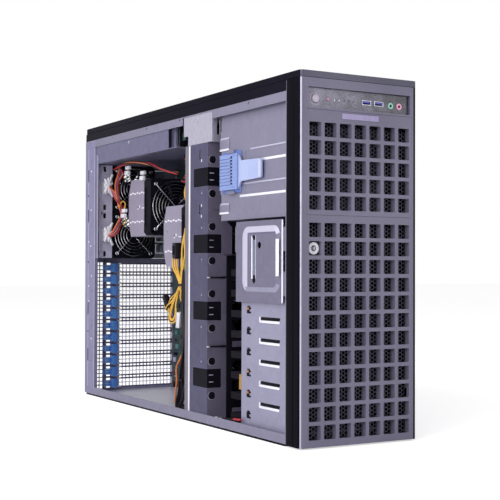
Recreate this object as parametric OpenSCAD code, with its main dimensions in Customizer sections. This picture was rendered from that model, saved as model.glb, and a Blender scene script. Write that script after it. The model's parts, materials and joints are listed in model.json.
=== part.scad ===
// Tower server with eleven expansion slots, in its upright stand, with the side cover taken off.
// X runs across the case (-X is the open side), Y runs from the front to the rear, Z is up.
// The origin is the centre of the floor under the case. All sizes are in millimetres.

/* [Case] */
// Width of the case
case_w = 178; // [172:1:186]
// Height of the steel chassis
chassis_h = 437; // [436:1:445]
// Depth of the steel chassis
chassis_d = 670; // [664:1:690]
// Thickness of the chassis steel
sheet_t = 1.2; // [1:0.1:1.5]
// Height of the lips along the open side
side_lip = 12; // [8:1:14]
// Height of the top cover
top_cover_h = 22; // [19:1:26]
// Height of the top cover's upper slab
slab_h = 8; // [6:1:10]
// Thickness of the base plate
base_h = 3; // [2:0.5:5]

/* [Front bezel] */
// Depth of the fixed bezel frame
frame_d = 16.5; // [14:0.5:20]
// Depth of the hinged door
door_d = 16.5; // [14:0.5:20]
// Wall of the door and of the frame
bezel_wall = 4; // [3:0.5:5]
// Depth of the door's grille bars
grille_d = 9; // [7:0.5:10]
// Side of a grille window
window_w = 17.7; // [15:0.1:18.5]
// Pitch of the rows of grille windows
window_pitch = 22.5; // [21:0.1:22.7]
// Room beside the grille, out to the case's sides
grille_side = 10.25; // [10:0.25:12]
// Columns of grille windows
window_cols = 7; // [5:1:7]
// Rows of windows below the bay cover
window_rows = 12; // [8:1:12]
// Rows of windows in the bay cover
bay_rows = 5; // [3:1:5]
// Pitch of the perforations in the mesh behind the grille
mesh_pitch = 9; // [8:0.5:14]
// Radius of the door's hinge pins
pin_r = 2; // [1.5:0.1:2.4]
// Radius of the door's hinge barrels
barrel_r = 4.5; // [4.2:0.1:4.8]
// Radius of the key lock
lock_r = 6.5; // [5:0.5:7.5]

/* [Control panel] */
// Height of the control panel's window
panel_h = 24.5; // [22:0.5:26]
// Radius of the power button
power_r = 5.3; // [4:0.1:6]
// Radius of the reset button
reset_r = 2.2; // [1.5:0.1:3]
// How far the buttons stand out of the control panel
button_out = 2.5; // [1.5:0.1:4]

/* [Expansion slots] */
// Number of expansion slots
slot_count = 11; // [7:1:11]
// Pitch of the expansion slots
slot_pitch = 20.32; // [20.32:0.01:20.5]
// Width of a slot cover
slot_cover_w = 15.4; // [14:0.1:16]
// Length of a slot cover
slot_cover_l = 108; // [104:1:110]
// Length of a blue slot clip
clip_l = 23; // [20:1:24]
// Thickness of a slot clip
clip_t = 9; // [7:0.5:10]
// Radius of the rod that the clips turn on
rod_r = 1.5; // [1:0.1:2]

/* [Power supplies] */
// Room beside the two power supplies, out to the case's sides
psu_side = 11; // [11:0.5:14]
// Room between the two power supplies
psu_mid = 4; // [3:0.5:6]
// Height of a power supply module
psu_h = 38.4; // [36:0.2:39]
// Length of a power supply module
psu_l = 336; // [300:1:340]
// How far the module's handle stands out at the rear
handle_out = 22; // [20:1:28]

/* [Fans] */
// Side of an intake fan
intake_w = 92; // [88:1:93]
// Depth of an intake fan
intake_d = 38; // [30:1:38]
// Room between two intake fans, with the shelf between them
intake_gap = 2.4; // [2:0.1:3]
// Side of an exhaust fan
exhaust_w = 80; // [76:1:80]
// Depth of an exhaust fan
exhaust_d = 38; // [30:1:38]
// Side of a cooler fan
cooler_fan_w = 92; // [88:1:94]
// Depth of a cooler fan
cooler_fan_d = 25; // [20:1:28]
// Number of blades on every fan
blade_count = 7; // [5:1:9]

/* [Board] */
// Length of the main board, front to rear
board_l = 347; // [335:1:348]
// Height of the board's standoffs
standoff_h = 7.2; // [6:0.1:8]
// Thickness of the board
board_t = 1.6; // [1.2:0.1:2]
// Height of a memory module
memory_h = 30; // [26:1:34]

/* [Processor coolers] */
// Height of a cooler above the board
cooler_h = 129; // [110:1:132]
// Width of a cooler, up the case
cooler_w = 95; // [90:1:98]
// Depth of a cooler's fin stack
cooler_d = 71; // [60:1:74]
// Number of fins
fin_count = 22; // [12:1:26]

/* [Drive bays] */
// Room beside the cages, out to the case's sides
cage_side = 9; // [7:0.5:12]
// Height of one drive carrier's bay
carrier_pitch = 27.65; // [26.5:0.05:28]
// Number of drive carriers
carrier_count = 8; // [4:1:8]
// Height of one large bay
bay_pitch = 42.5; // [41.5:0.1:42.8]
// Travel of the bay latch
latch_travel = 8; // [4:1:10]

/* [Hidden] */
$fn = 48;

// Clearances: between fixed neighbours, between moving neighbours, and around a turning pin.
gap = 0.3;
run_gap = 0.5;
pin_gap = 0.06;

// Sizes that follow from the case's width and from the fans.
cage_w = case_w - 2 * cage_side;
psu_w = (case_w - 2 * psu_side - psu_mid) / 2;
window_dx = (case_w - 2 * grille_side) / window_cols;
intake_pitch = intake_w + intake_gap;
exhaust_pitch = exhaust_w + 0.5;
psu_gap = 0.4;                                   // above and below a power supply

// What stands on the case floor: the slots with the exhaust fans over them, and the fan wall.
// The supplies lie above the taller of the two, and the chassis is high enough for all of them.
z_floor = base_h + sheet_t;
slot_z0 = z_floor + 12.8;                        // middle of the lowest slot
function slot_z(i) = slot_z0 + i * slot_pitch;
exhaust_z = slot_z(slot_count - 1) + 17;         // underside of the lower exhaust fan
wall_z0 = z_floor + 14;                          // underside of the lowest intake fan's room
wall_z1 = wall_z0 + 4 * intake_pitch;
wall_top = wall_z1 + sheet_t / 2;
deck_z = max(exhaust_z + exhaust_pitch + exhaust_w, wall_top) + 0.7;

// Planes of the case.
overall_d = door_d + frame_d + chassis_d + handle_out;
x_open = -case_w / 2;
x_wall = case_w / 2;
x_in = x_wall - sheet_t;
y_front = -overall_d / 2;
y_frame = y_front + door_d;
y_chassis = y_frame + frame_d;
y_rear = y_chassis + chassis_d;
y_rear_in = y_rear - sheet_t;
z_top = max(base_h + chassis_h, deck_z + 2 * sheet_t + 2 * psu_gap + psu_h);
z_ceil = z_top - sheet_t;
overall_h = z_top + top_cover_h;
z_groove = overall_h - slab_h;

// Colours of the finishes.
steel = [0.62, 0.63, 0.68];
bright_steel = [0.78, 0.78, 0.80];
black_plastic = [0.10, 0.10, 0.11];
bezel_grey = [0.27, 0.27, 0.30];
board_green = [0.05, 0.30, 0.20];
clip_blue = [0.12, 0.35, 0.72];
latch_blue = [0.45, 0.65, 0.95];

// ---- Shared shapes ----

// A box from its lowest to its highest corner.
module block(a, b) translate(a) cube(b - a);

// Flat shapes drawn as (y, z), (x, z) and (x, y), and given a thickness along the third axis.
module plate_x(x, t) translate([x, 0, 0]) rotate([90, 0, 90]) linear_extrude(t) children();
module plate_y(y, t) translate([0, y + t, 0]) rotate([90, 0, 0]) linear_extrude(t) children();
module plate_z(z, t) translate([0, 0, z]) linear_extrude(t) children();

// A rectangle between two corners, plain or with its corners cut.
module rect(a, b) translate(a) square(b - a);
module cut_rect(a, b, c) polygon([[a[0] + c, a[1]], [b[0] - c, a[1]], [b[0], a[1] + c], [b[0], b[1] - c],
    [b[0] - c, b[1]], [a[0] + c, b[1]], [a[0], b[1] - c], [a[0], a[1] + c]]);

// The outline of a rectangle with rounded corners, as points.
function round_corner(c, r, start, n = 5) = [for (i = [0:n]) c + r * [cos(start + i * 90 / n), sin(start + i * 90 / n)]];
function round_rect(a, b, r) = concat(
    round_corner([b[0] - r, a[1] + r], r, -90), round_corner([b[0] - r, b[1] - r], r, 0),
    round_corner([a[0] + r, b[1] - r], r, 90), round_corner([a[0] + r, a[1] + r], r, 180));

// A grid of shapes centred on the origin.
module grid(cols, rows, dx, dy)
    for (i = [0:cols - 1]) for (j = [0:rows - 1])
        translate([(i - (cols - 1) / 2) * dx, (j - (rows - 1) / 2) * dy]) children();

// A cylinder along X or Y, from its starting plane.
module rod_x(p, r, l) translate(p) rotate([0, 90, 0]) cylinder(r = r, h = l);
module rod_y(p, r, l) translate(p) rotate([-90, 0, 0]) cylinder(r = r, h = l);

// ---- Chassis ----

lip_holes = [118, 254, 372, 575];          // side cover hooks, measured from the rear
rear_flange_w = 43;
front_open_w = cage_w;
carrier_z = z_floor + 11.1;                // underside of the lowest carrier
carriers_h = carrier_count * carrier_pitch;
bays_h = 3 * bay_pitch;
panel_z = z_groove - 12;                   // upper edge of the control panel's window
bay_z = panel_z - panel_h - 2.5 - bays_h;  // underside of the lowest large bay

module lip_hole(y) plate_x(x_open - 1, sheet_t + 2) translate([y, z_top - 3.4]) circle(r = 1.6, $fn = 24);

module chassis_shell() color(steel) {
    difference() {
        union() {
            block([x_in, y_chassis, base_h], [x_wall, y_rear, z_top]);
            block([x_open, y_chassis, base_h], [x_wall, y_rear, z_floor]);
            block([x_open, y_chassis, z_ceil], [x_wall, y_rear, z_top]);
            block([x_open, y_chassis, base_h], [x_open + sheet_t, y_rear - rear_flange_w, base_h + side_lip]);
            block([x_open, y_chassis, z_top - side_lip], [x_open + sheet_t, y_rear - rear_flange_w, z_top]);
            front_sheet();
            for (p = standoffs) rod_x([board_x + board_t, p[0], p[1]], 3, x_in - board_x - board_t);
        }
        for (h = lip_holes) lip_hole(y_rear - h);
        // The upper lip is cut away at the crossbar's bracket.
        block([x_open - 1, beam_y[0] - 2, z_top - side_lip - 1], [x_open + sheet_t, beam_y[1] + 2, z_ceil]);
    }
}

// The chassis front: a sheet with the mouths of the bays and the drive cage.
module front_sheet() {
    plate_y(y_chassis, sheet_t) difference() {
        rect([x_open, base_h], [x_wall, z_top]);
        rect([-front_open_w / 2, carrier_z - 2], [front_open_w / 2, carrier_z + carriers_h + 1]);
        rect([-front_open_w / 2, bay_z - 1], [front_open_w / 2, bay_z + bays_h + 1]);
        rect([-front_open_w / 2, bay_z + bays_h + 4], [front_open_w / 2, z_top - 10]);
        translate([0, (carrier_z + carriers_h + bay_z) / 2]) grid(14, 2, 10, 12) circle(r = 3.4, $fn = 6);
    }
}

// ---- Rear panel ----

slot_x1 = x_in - 8;                              // inner end of the slot openings, at the board
slot_x0 = slot_x1 - slot_cover_l;                // outer end
io_w = 44.5;
io_h = 158.8;
exhaust_x = x_open + 75;
function exhaust_zc(i) = exhaust_z + exhaust_w / 2 + i * exhaust_pitch;
psu_z = z_ceil - psu_gap - psu_h;                // underside of the power supplies
psu_x = [-psu_mid / 2 - psu_w, psu_mid / 2];
rod_x_at = slot_x0 - 25;
rod_y_at = y_rear_in - 1.4 - clip_t / 2;
perf_pitch = slot_pitch / 3;                     // one square grid over the ribs, the covers and the strip
perf_w = 5.2;
perf_cols = floor((slot_cover_l - 4) / perf_pitch);
clip_arm_w = 10;

module rear_panel() {
    color(steel) {
        plate_y(y_rear_in, sheet_t) difference() {
            rect([x_open + sheet_t, z_floor], [x_in, z_ceil]);
            for (i = [0:slot_count - 1]) translate([0, slot_z(i)])
                rect([slot_x0, -slot_cover_w / 2 - gap], [slot_x1, slot_cover_w / 2 + gap]);
            // One row of perforations on each rib between two slots.
            for (i = [0:slot_count - 2]) translate([(slot_x0 + slot_x1) / 2, slot_z(i) + slot_pitch / 2])
                grid(perf_cols, 1, perf_pitch, 1) square([perf_w, 2.8], center = true);
            // Perforated strip beside the clips, and two openings behind each clip's arm.
            translate([rod_x_at - 12.4, slot_z0 + (slot_count - 1) * slot_pitch / 2])
                grid(3, slot_count * 3, perf_pitch, perf_pitch) square(perf_w, center = true);
            for (i = [0:slot_count - 1]) translate([rod_x_at + 7.5, slot_z(i)])
                grid(1, 2, 1, 2 * perf_pitch) square([7.6, 3.6], center = true);
            for (i = [0:1]) exhaust_grille(exhaust_zc(i));
            translate([x_in - 6 - io_w / 2, exhaust_z + io_h / 2]) square([io_w, io_h], center = true);
            for (x = psu_x) rect([x - run_gap, psu_z - run_gap], [x + psu_w + run_gap, z_ceil]);
        }
        rear_flange();
        // Rod that the slot clips turn on, and its two ears.
        for (z = [slot_z0 - slot_pitch / 2 - 0.6, slot_z(slot_count - 1) + slot_pitch / 2 - 0.6])
            block([rod_x_at - 3, rod_y_at - 3, z], [rod_x_at + 3, y_rear_in, z + 1.2]);
        translate([rod_x_at, rod_y_at, slot_z0 - slot_pitch / 2])
            cylinder(r = rod_r, h = slot_count * slot_pitch);
    }
}

// Honeycomb holes inside the circle of an exhaust fan.
module exhaust_grille(zc) {
    p = 8;
    for (i = [-5:5]) for (j = [-5:5]) {
        x = i * p * 0.866;
        z = (j + (i % 2 == 0 ? 0 : 0.5)) * p;
        if (norm([x, z]) < exhaust_w / 2 - 5) translate([exhaust_x + x, zc + z]) circle(r = 3.9, $fn = 6);
    }
}

// The panel's flange on the open side, with the slots that take the side cover's tabs.
module rear_flange() {
    plate_x(x_open, sheet_t) difference() {
        rect([y_rear - rear_flange_w, z_floor], [y_rear, z_ceil]);
        for (z = [70, 150, 310, 380]) translate([y_rear - 14, z]) square([4, 22], center = true);
        for (z = [110, 230, 345]) translate([y_rear - 14, z]) circle(r = 2, $fn = 24);
        for (z = [60, 120, 180]) translate([y_rear - 30, z]) circle(r = 1.6, $fn = 24);
    }
    block([x_open, y_rear - rear_flange_w, z_floor],
        [x_open + 6, y_rear - rear_flange_w + sheet_t, psu_z - psu_gap - sheet_t - gap]);
}

// A shield with the outlines of the board's ports.
module io_shield() color(bright_steel) {
    x = x_in - 6 - io_w / 2;
    z = exhaust_z + io_h / 2;
    plate_y(y_rear_in + 0.2, 0.8) difference() {
        translate([x, z]) square([io_w - 2 * gap, io_h - 2 * gap], center = true);
        for (k = [-62, -42, 26, 48]) translate([x - 6, z + k]) square([16, 15], center = true);
        for (k = [-20, -4]) translate([x - 4, z + k]) square([13, 12], center = true);
        translate([x - 5, z + 10]) square([9, 17], center = true);
        for (k = [-66, -52, -38]) translate([x + 14, z + k]) circle(r = 3, $fn = 24);
    }
    // Port shells behind the shield.
    for (k = [-62, -42, 26, 48]) port_shell([x - 6, z + k], [15.4, 14.4], 20);
    for (k = [-20, -4]) port_shell([x - 4, z + k], [12.4, 11.4], 16);
    port_shell([x - 5, z + 10], [8.4, 16.4], 14);
}

// A double port: a shell whose two mouths are filled by their contact blocks.
module port_shell(c, size, depth) difference() {
    block([c[0] - size[0] / 2, y_rear_in - depth, c[1] - size[1] / 2],
        [c[0] + size[0] / 2, y_rear_in + 0.5, c[1] + size[1] / 2]);
    for (s = [-1, 1]) translate([0, 0, s * size[1] / 4])
        block([c[0] - size[0] / 2 + 1, y_rear_in - 2.5, c[1] - size[1] / 4 + 1],
            [c[0] + size[0] / 2 - 1, y_rear + 1, c[1] + size[1] / 4 - 1]);
}

// Eleven perforated covers, each with its bent tab under a clip.
module slot_covers() color(bright_steel) for (i = [0:slot_count - 1]) translate([0, 0, slot_z(i)]) {
    plate_y(y_rear_in, sheet_t) difference() {
        rect([slot_x0 + gap, -slot_cover_w / 2], [slot_x1 - gap, slot_cover_w / 2]);
        translate([(slot_x0 + slot_x1) / 2, 0]) grid(perf_cols, 2, perf_pitch, perf_pitch) square(perf_w, center = true);
    }
    block([slot_x0 - 8, y_rear_in - 1, -slot_cover_w / 2 + 3], [slot_x0 + 3, y_rear_in, slot_cover_w / 2 - 3]);
    block([slot_x0 + gap, y_rear_in - 1, -slot_cover_w / 2 + 3], [slot_x0 + 3, y_rear_in + 0.5, slot_cover_w / 2 - 3]);
}

// A clip that turns on the rod and holds a cover's tab down.
module slot_clip(i) color(clip_blue) {
    head_w = slot_pitch - 4.3;
    x1 = rod_x_at + clip_l;
    y0 = rod_y_at - clip_t / 2;
    y1 = rod_y_at + clip_t / 2;
    translate([0, 0, slot_z(i)]) difference() {
        union() {
            // A narrow arm from the rod, and a wide head over the cover's tab.
            translate([rod_x_at, rod_y_at, -clip_arm_w / 2]) cylinder(r = clip_t / 2, h = clip_arm_w);
            block([rod_x_at, y0, -clip_arm_w / 2], [x1 - 10, y1, clip_arm_w / 2]);
            translate([0, 0, -head_w / 2]) linear_extrude(head_w)
                polygon([[x1 - 12, y0], [x1 - 6, y0], [x1, y0 + 3], [x1, y1 - 1.5], [x1 - 3, y1], [x1 - 12, y1]]);
        }
        translate([rod_x_at, rod_y_at, -clip_arm_w]) cylinder(r = rod_r + pin_gap, h = 2 * clip_arm_w);
        // Moulded pockets and the finger ledge.
        for (k = [-1, 1]) block([rod_x_at + 5, y0 - 1, 2.2 * k - 1.5], [x1 - 13, y0 + 2.5, 2.2 * k + 1.5]);
        block([x1 - 5, y0 - 1, 2 - head_w / 2], [x1 - 3, y0 + 2.4, head_w / 2 - 2]);
    }
}

// ---- Board ----

board_x = x_in - standoff_h - board_t;           // front face of the board, which faces the open side
board_y = [y_rear_in - 5 - board_l, y_rear_in - 5];
board_z = [z_floor + 6, psu_z - 4];
standoffs = [for (y = [board_y[0] + 8, board_y[0] + 132, board_y[1] - 12]) for (k = [0:3])
    [y, board_z[0] + 16 + k * (board_z[1] - board_z[0] - 28) / 3]];
slot_socket_y = y_rear_in - 148;                 // front end of an expansion socket
socket_l = 89;
cooler_y = [y_rear_in - 168.3, y_rear_in - 306.3];    // front faces of the rear and front fin stacks
cooler_z = [exhaust_z + 82.8, exhaust_z + 32.2];      // their middles
memory_l = 133;
memory_pitch = 9.5;
memory_banks = [[board_y[1] - 50 - memory_l, cooler_z[0] - cooler_w / 2 - 36],
    [board_y[0] + 14, cooler_z[1] + cooler_w / 2 + 10]];

module motherboard() color(board_green) plate_x(board_x, board_t) difference() {
    rect([board_y[0], board_z[0]], [board_y[1], board_z[1]]);
    for (p = standoffs) translate(p) circle(r = 1.6, $fn = 24);
}

// Sockets on the board: expansion slots, memory, processors, power and the heat spreader of the chipset.
module board_sockets() color(black_plastic) {
    for (i = [0:slot_count - 1]) socket([slot_socket_y, slot_z(i) - 3.7], [socket_l, 7.4], 11, 2);
    for (b = memory_banks) for (k = [0:3])
        socket([b[0] - 5, b[1] + k * memory_pitch - 3.2], [memory_l + 10, 6.4], 7, 1.6);
    for (i = [0, 1]) translate([0, cooler_y[i] + cooler_d / 2, cooler_z[i]])
        block([board_x - 6, -30, -30], [board_x, 30, 30]);
    socket([board_y[0] + 22, slot_z(8)], [52, 10], 12, 3);
    socket([board_y[0] + 22, slot_z(6)], [18, 10], 12, 3);
    for (k = [0:3]) socket([board_y[0] + 24 + k * 16, slot_z(3)], [12, 8], 9, 2);
    heat_spreader([board_y[0] + 60, slot_z(1)]);
}

// A socket with a lengthwise slot: corner and size are (y, z), and it stands h off the board.
module socket(at, size, h, slot_w) difference() {
    block([board_x - h, at[0], at[1]], [board_x, at[0] + size[0], at[1] + size[1]]);
    block([board_x - h - 1, at[0] + 4, at[1] + size[1] / 2 - slot_w / 2],
        [board_x - h / 3, at[0] + size[0] - 4, at[1] + size[1] / 2 + slot_w / 2]);
}

module heat_spreader(at) translate([board_x, at[0], at[1]]) difference() {
    block([-16, -19, -19], [0, 19, 19]);
    for (k = [-3:3]) block([-17, k * 5 - 1.5, -20], [-4, k * 5 + 1.5, 20]);
}

module memory_modules() color(board_green) for (b = memory_banks) for (k = [0:3])
    plate_y(b[0], memory_l) translate([0, b[1] + k * memory_pitch]) {
        rect([board_x - memory_h, -0.6], [board_x - 2.6, 0.6]);
        for (j = [0:1]) rect([board_x - memory_h + 3, -1.6 + j * 2], [board_x - 12, -0.4 + j * 2]);
    }

// A tower cooler: base, four heat pipes, a stack of fins and a bright top plate.
module cooler(i) {
    y0 = cooler_y[i];
    z0 = cooler_z[i];
    base_x = board_x - 6;
    top_x = board_x - cooler_h;
    fin_x0 = top_x + 2.2;
    fin_step = (cooler_h - 50) / fin_count;
    translate([0, y0, z0]) {
        color(bright_steel) {
            block([base_x - 14, cooler_d / 2 - 22, -22], [base_x, cooler_d / 2 + 22, 22]);
            for (k = [-1.5:1.5]) rod_x([top_x + 0.8, cooler_d / 2, k * 20], 3, cooler_h - 12);
            for (n = [0:fin_count - 1]) plate_x(fin_x0 + n * fin_step, 0.6) fin_outline();
            // The folded side walls that the fins are crimped to.
            for (s = [-1, 1]) block([fin_x0, 10, s * (cooler_w / 2 - 0.5) - 0.5],
                [fin_x0 + (fin_count - 1) * fin_step, cooler_d - 16, s * (cooler_w / 2 - 0.5) + 0.5]);
        }
        color([0.56, 0.56, 0.58]) plate_x(top_x, 1.2) difference() {
            fin_outline();
            translate([cooler_d - 14, 8]) circle(r = 1.5, $fn = 24);
        }
    }
}

// Outline of a fin, with its rear corners cut.
fin_cut = [10, 26];
module fin_outline() polygon([[0, -cooler_w / 2], [cooler_d - fin_cut[0], -cooler_w / 2], [cooler_d, -cooler_w / 2 + fin_cut[1]],
    [cooler_d, cooler_w / 2 - fin_cut[1]], [cooler_d - fin_cut[0], cooler_w / 2], [0, cooler_w / 2]]);

module cpu_cooler_rear() cooler(0);
module cpu_cooler_front() cooler(1);

// ---- Fans ----

hub_share = 0.2;                                 // radius of a hub as a share of the fan's side
shaft_r = 1.6;

// A fan in the plane of X and Z, blowing along +Y from its front face at y = 0.
// The hub's bearing base and its struts sit at the rear end.
module fan_frame(w, d) {
    r = w / 2 - 2;
    hub = w * hub_share;
    difference() {
        plate_y(0, d) cut_rect([-w / 2, -w / 2], [w / 2, w / 2], 4);
        rod_y([0, -1, 0], r, d + 2);
        // Waist between the two mounting flanges.
        for (a = [0:90:270]) rotate([0, a, 0]) translate([w / 2 - 1.5, 4, -w / 2 + 14]) cube([3, d - 8, w - 28]);
        for (x = [-1, 1]) for (z = [-1, 1])
            rod_y([x * (w / 2 - 5), -1, z * (w / 2 - 5)], 2.1, d + 2, $fn = 24);
    }
    rod_y([0, d - 4, 0], hub, 4);
    for (a = [0:3]) rotate([0, a * 90 + 30, 0]) translate([hub - 2, d - 3, -1.5]) cube([r - hub + 3, 3, 3]);
    rod_y([0, 5, 0], shaft_r, d - 6, $fn = 24);
}

module fan_rotor(w, d) {
    hub = w * hub_share;
    tip = w / 2 - 3.5;
    len = d - 4 - run_gap - 2;
    difference() {
        union() {
            rod_y([0, 2, 0], hub - 0.5, len);
            for (i = [0:blade_count - 1]) rotate([0, i * 360 / blade_count, 0]) translate([0, 4, 0])
                rotate([-90, 0, 0]) linear_extrude(height = len - 5, twist = -46, slices = 4, segments = 4)
                    translate([hub - 2, -0.9]) square([tip - hub + 2, 1.8]);
        }
        rod_y([0, 4, 0], shaft_r + pin_gap, d, $fn = 24);
        rod_y([0, 1, 0], hub - 5, 2);
    }
}

// Spiral guard: rings joined by two crossed bars.
module guard(w) {
    for (r = [w / 2 - 4:-7:10]) rotate([90, 0, 0]) rotate_extrude() translate([r, 0]) square([1.4, 1.2], center = true);
    for (a = [45, -45]) rotate([0, a, 0]) block([-w / 2 - 8, -0.6, -0.9], [w / 2 + 8, 0.6, 0.9]);
}

exhaust_y = y_rear_in - exhaust_d;
cooler_fan_x = board_x - cooler_h + cooler_fan_w / 2 - 4;
function cooler_fan_at(i) = [cooler_fan_x, cooler_y[i] - gap - cooler_fan_d, cooler_z[i]];
function exhaust_at(i) = [exhaust_x, exhaust_y, exhaust_zc(i)];

module exhaust_fans() color(black_plastic) for (i = [0:1]) translate(exhaust_at(i)) fan_frame(exhaust_w, exhaust_d);
module cooler_fan_rear() color(black_plastic) translate(cooler_fan_at(0)) fan_frame(cooler_fan_w, cooler_fan_d);
module cooler_fan_front() color(black_plastic) translate(cooler_fan_at(1)) fan_frame(cooler_fan_w, cooler_fan_d);
module cooler_rotor_rear() color(black_plastic) translate(cooler_fan_at(0)) fan_rotor(cooler_fan_w, cooler_fan_d);
module cooler_rotor_front() color(black_plastic) translate(cooler_fan_at(1)) fan_rotor(cooler_fan_w, cooler_fan_d);
module exhaust_rotor_lower() color(black_plastic) translate(exhaust_at(0)) fan_rotor(exhaust_w, exhaust_d);
module exhaust_rotor_upper() color(black_plastic) translate(exhaust_at(1)) fan_rotor(exhaust_w, exhaust_d);

module fan_guards() color(bright_steel) {
    for (i = [0:1]) translate(exhaust_at(i) - [0, 0.9, 0]) guard(exhaust_w);
    for (i = [0:1]) translate(cooler_fan_at(i) - [0, 0.9, 0]) guard(cooler_fan_w);
}

// A bracket beside the exhaust fans that holds the connectors of their leads.
module exhaust_bracket() color(steel) {
    x1 = exhaust_x - exhaust_w / 2 - 2;
    x0 = x_open + 9;
    y0 = exhaust_y - 1.5;
    difference() {
        union() {
            block([x0, y0, exhaust_z], [x1, y0 + sheet_t, exhaust_zc(1) + exhaust_w / 2]);
            block([x0, y0, exhaust_z], [x0 + sheet_t, y_rear_in, exhaust_zc(1) + exhaust_w / 2]);
        }
        for (i = [0:1]) for (s = [-1, 1]) translate([x0 + 10, y0 + 1, exhaust_zc(i) + s * 33]) cube([5, 4, 9], center = true);
        plate_y(y0 - 1, sheet_t + 2) translate([x0 + 5, exhaust_z + exhaust_pitch - 3]) circle(r = 1.8, $fn = 24);
    }
    for (i = [0:1]) color([0.9, 0.9, 0.88]) block([x0 + 5, y0 - 7, exhaust_zc(i) - 10], [x0 + 18, y0, exhaust_zc(i) + 10]);
}

// ---- Fan wall ----

wall_y = [y_chassis + 212, y_chassis + 282];     // front flange and rear edge of the fan wall
wall_x0 = x_open + sheet_t + gap;
intake_x = x_open + 38 + intake_w / 2;
intake_y = wall_y[0] + sheet_t + gap;
handle_h = 26;
handle_x1 = x_open + 23.5;
function intake_zc(i) = wall_z0 + (i + 0.5) * intake_pitch;
function intake_at(i) = [intake_x, intake_y, intake_zc(i)];

module fan_wall() color(steel) {
    difference() {
        union() {
            block([wall_x0, wall_y[0], z_floor], [wall_x0 + sheet_t, wall_y[1], wall_top]);
            plate_y(wall_y[0], sheet_t) difference() {
                rect([wall_x0, z_floor], [x_in, wall_top]);
                for (i = [0:3]) translate([intake_x, intake_zc(i)]) intake_opening();
                for (i = [0:3]) for (s = [-1, 1]) translate([x_open + 8.5, intake_zc(i) + s * 24]) circle(r = 6.2, $fn = 32);
                for (i = [1:3]) rect([x_open + 9, wall_z0 + i * intake_pitch - 0.8], [x_open + 34, wall_z0 + i * intake_pitch + 0.8]);
            }
            for (i = [0:4]) block([wall_x0, wall_y[0], wall_z0 + i * intake_pitch - sheet_t / 2],
                [x_in, wall_y[0] + intake_d + 13, wall_z0 + i * intake_pitch + sheet_t / 2]);
            // Return along the rear edge of the web.
            block([wall_x0, wall_y[1] - sheet_t, z_floor], [wall_x0 + 6, wall_y[1], wall_top]);
        }
        for (i = [0:3]) handle_notch(intake_zc(i));
        // Upright slots in the web.
        for (z = [wall_z0 + 3 * intake_pitch + 2, wall_top - 16])
            block([wall_x0 - 1, wall_y[0] + 22.5, z - 7], [wall_x0 + sheet_t + 1, wall_y[0] + 26.5, z + 7]);
    }
}

// The air opening of a fan: square, a little smaller than the fan, with cut corners.
// On the open side it is wider beyond the handle, which gives the flange its wavy edge.
module intake_opening() {
    h = intake_w / 2 - 3;
    cut_rect([-h, -h], [h, h], 12);
    for (s = [-1, 1]) scale([1, s]) polygon([[14 - h, 24], [-h, 24], [-h - 8, 31], [-h - 8, h], [14 - h, h]]);
}

module handle_notch(zc) {
    z0 = zc - handle_h / 2 - gap;
    z1 = zc + handle_h / 2 + gap;
    block([wall_x0 - 1, wall_y[0] - 1, z0], [wall_x0 + sheet_t + 1, wall_y[0] + 43 + gap, z1]);
    block([wall_x0 - 1, wall_y[0] - 1, z0], [handle_x1 + gap, wall_y[0] + sheet_t + gap + 0.1, z1]);
}

// Four fan housings, each with its carrier arms and the handle that closes its notch in the wall.
module intake_fans() color(black_plastic) for (i = [0:3]) {
    translate(intake_at(i)) fan_frame(intake_w, intake_d);
    zc = intake_zc(i);
    difference() {
        union() {
            block([wall_x0, wall_y[0], zc - handle_h / 2], [wall_x0 + sheet_t, wall_y[0] + 43, zc + handle_h / 2]);
            block([wall_x0, wall_y[0], zc - handle_h / 2], [handle_x1, wall_y[0] + sheet_t, zc + handle_h / 2]);
            for (s = [-1, 1]) block([wall_x0, wall_y[0], zc + s * (handle_h / 2 - 1) - 1],
                [intake_x - intake_w / 2 + 2, intake_y + intake_d - 6, zc + s * (handle_h / 2 - 1) + 1]);
        }
        // Below the face of the wall the arms pass behind it.
        block([handle_x1, wall_y[0] - 1, zc - handle_h], [intake_x, intake_y, zc + handle_h]);
    }
    // Finger latch in the middle of the handle.
    for (s = [-1, 1]) block([wall_x0 + sheet_t, wall_y[0] + 8, zc + s * 5 - 1], [wall_x0 + 4, wall_y[0] + 24, zc + s * 5 + 1]);
}

module intake_rotor(i) color(black_plastic) translate(intake_at(i - 1)) fan_rotor(intake_w, intake_d);

// Beam over the fan wall, with its bracket on the open side.
beam_z = wall_top + gap;
beam_y = [wall_y[0] - 13, wall_y[1] + 5];
bracket_x = x_open + sheet_t;

module crossbar_bracket() color(bright_steel) {
    difference() {
        union() {
            block([wall_x0, beam_y[0], beam_z], [x_in, beam_y[1] - 30, beam_z + sheet_t]);
            block([bracket_x, beam_y[0], beam_z], [bracket_x + sheet_t, beam_y[1], z_ceil]);
            block([bracket_x, beam_y[0], beam_z], [bracket_x + 18, beam_y[0] + sheet_t, z_ceil]);
            block([wall_x0, beam_y[1] - 30, beam_z], [x_in, beam_y[1] - 30 + sheet_t, beam_z + 12]);
        }
        // Notch at the lower rear corner, the slot in the front face and the cable ports of the beam.
        block([bracket_x - 1, beam_y[1] - 14, beam_z - 1], [bracket_x + sheet_t + 1, beam_y[1] + 1, beam_z + 14]);
        block([bracket_x + 8, beam_y[0] - 1, beam_z + 10], [bracket_x + 12, beam_y[0] + 3, z_ceil - 6]);
        for (x = [-40, 20]) block([x, beam_y[0] + 12, beam_z - 1], [x + 36, beam_y[1] - 40, beam_z + 3]);
    }
}

// ---- Power supplies ----

cage_x = [wall_x0, x_in - 8];
psu_cage_y = y_rear - psu_l - 24;

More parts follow.
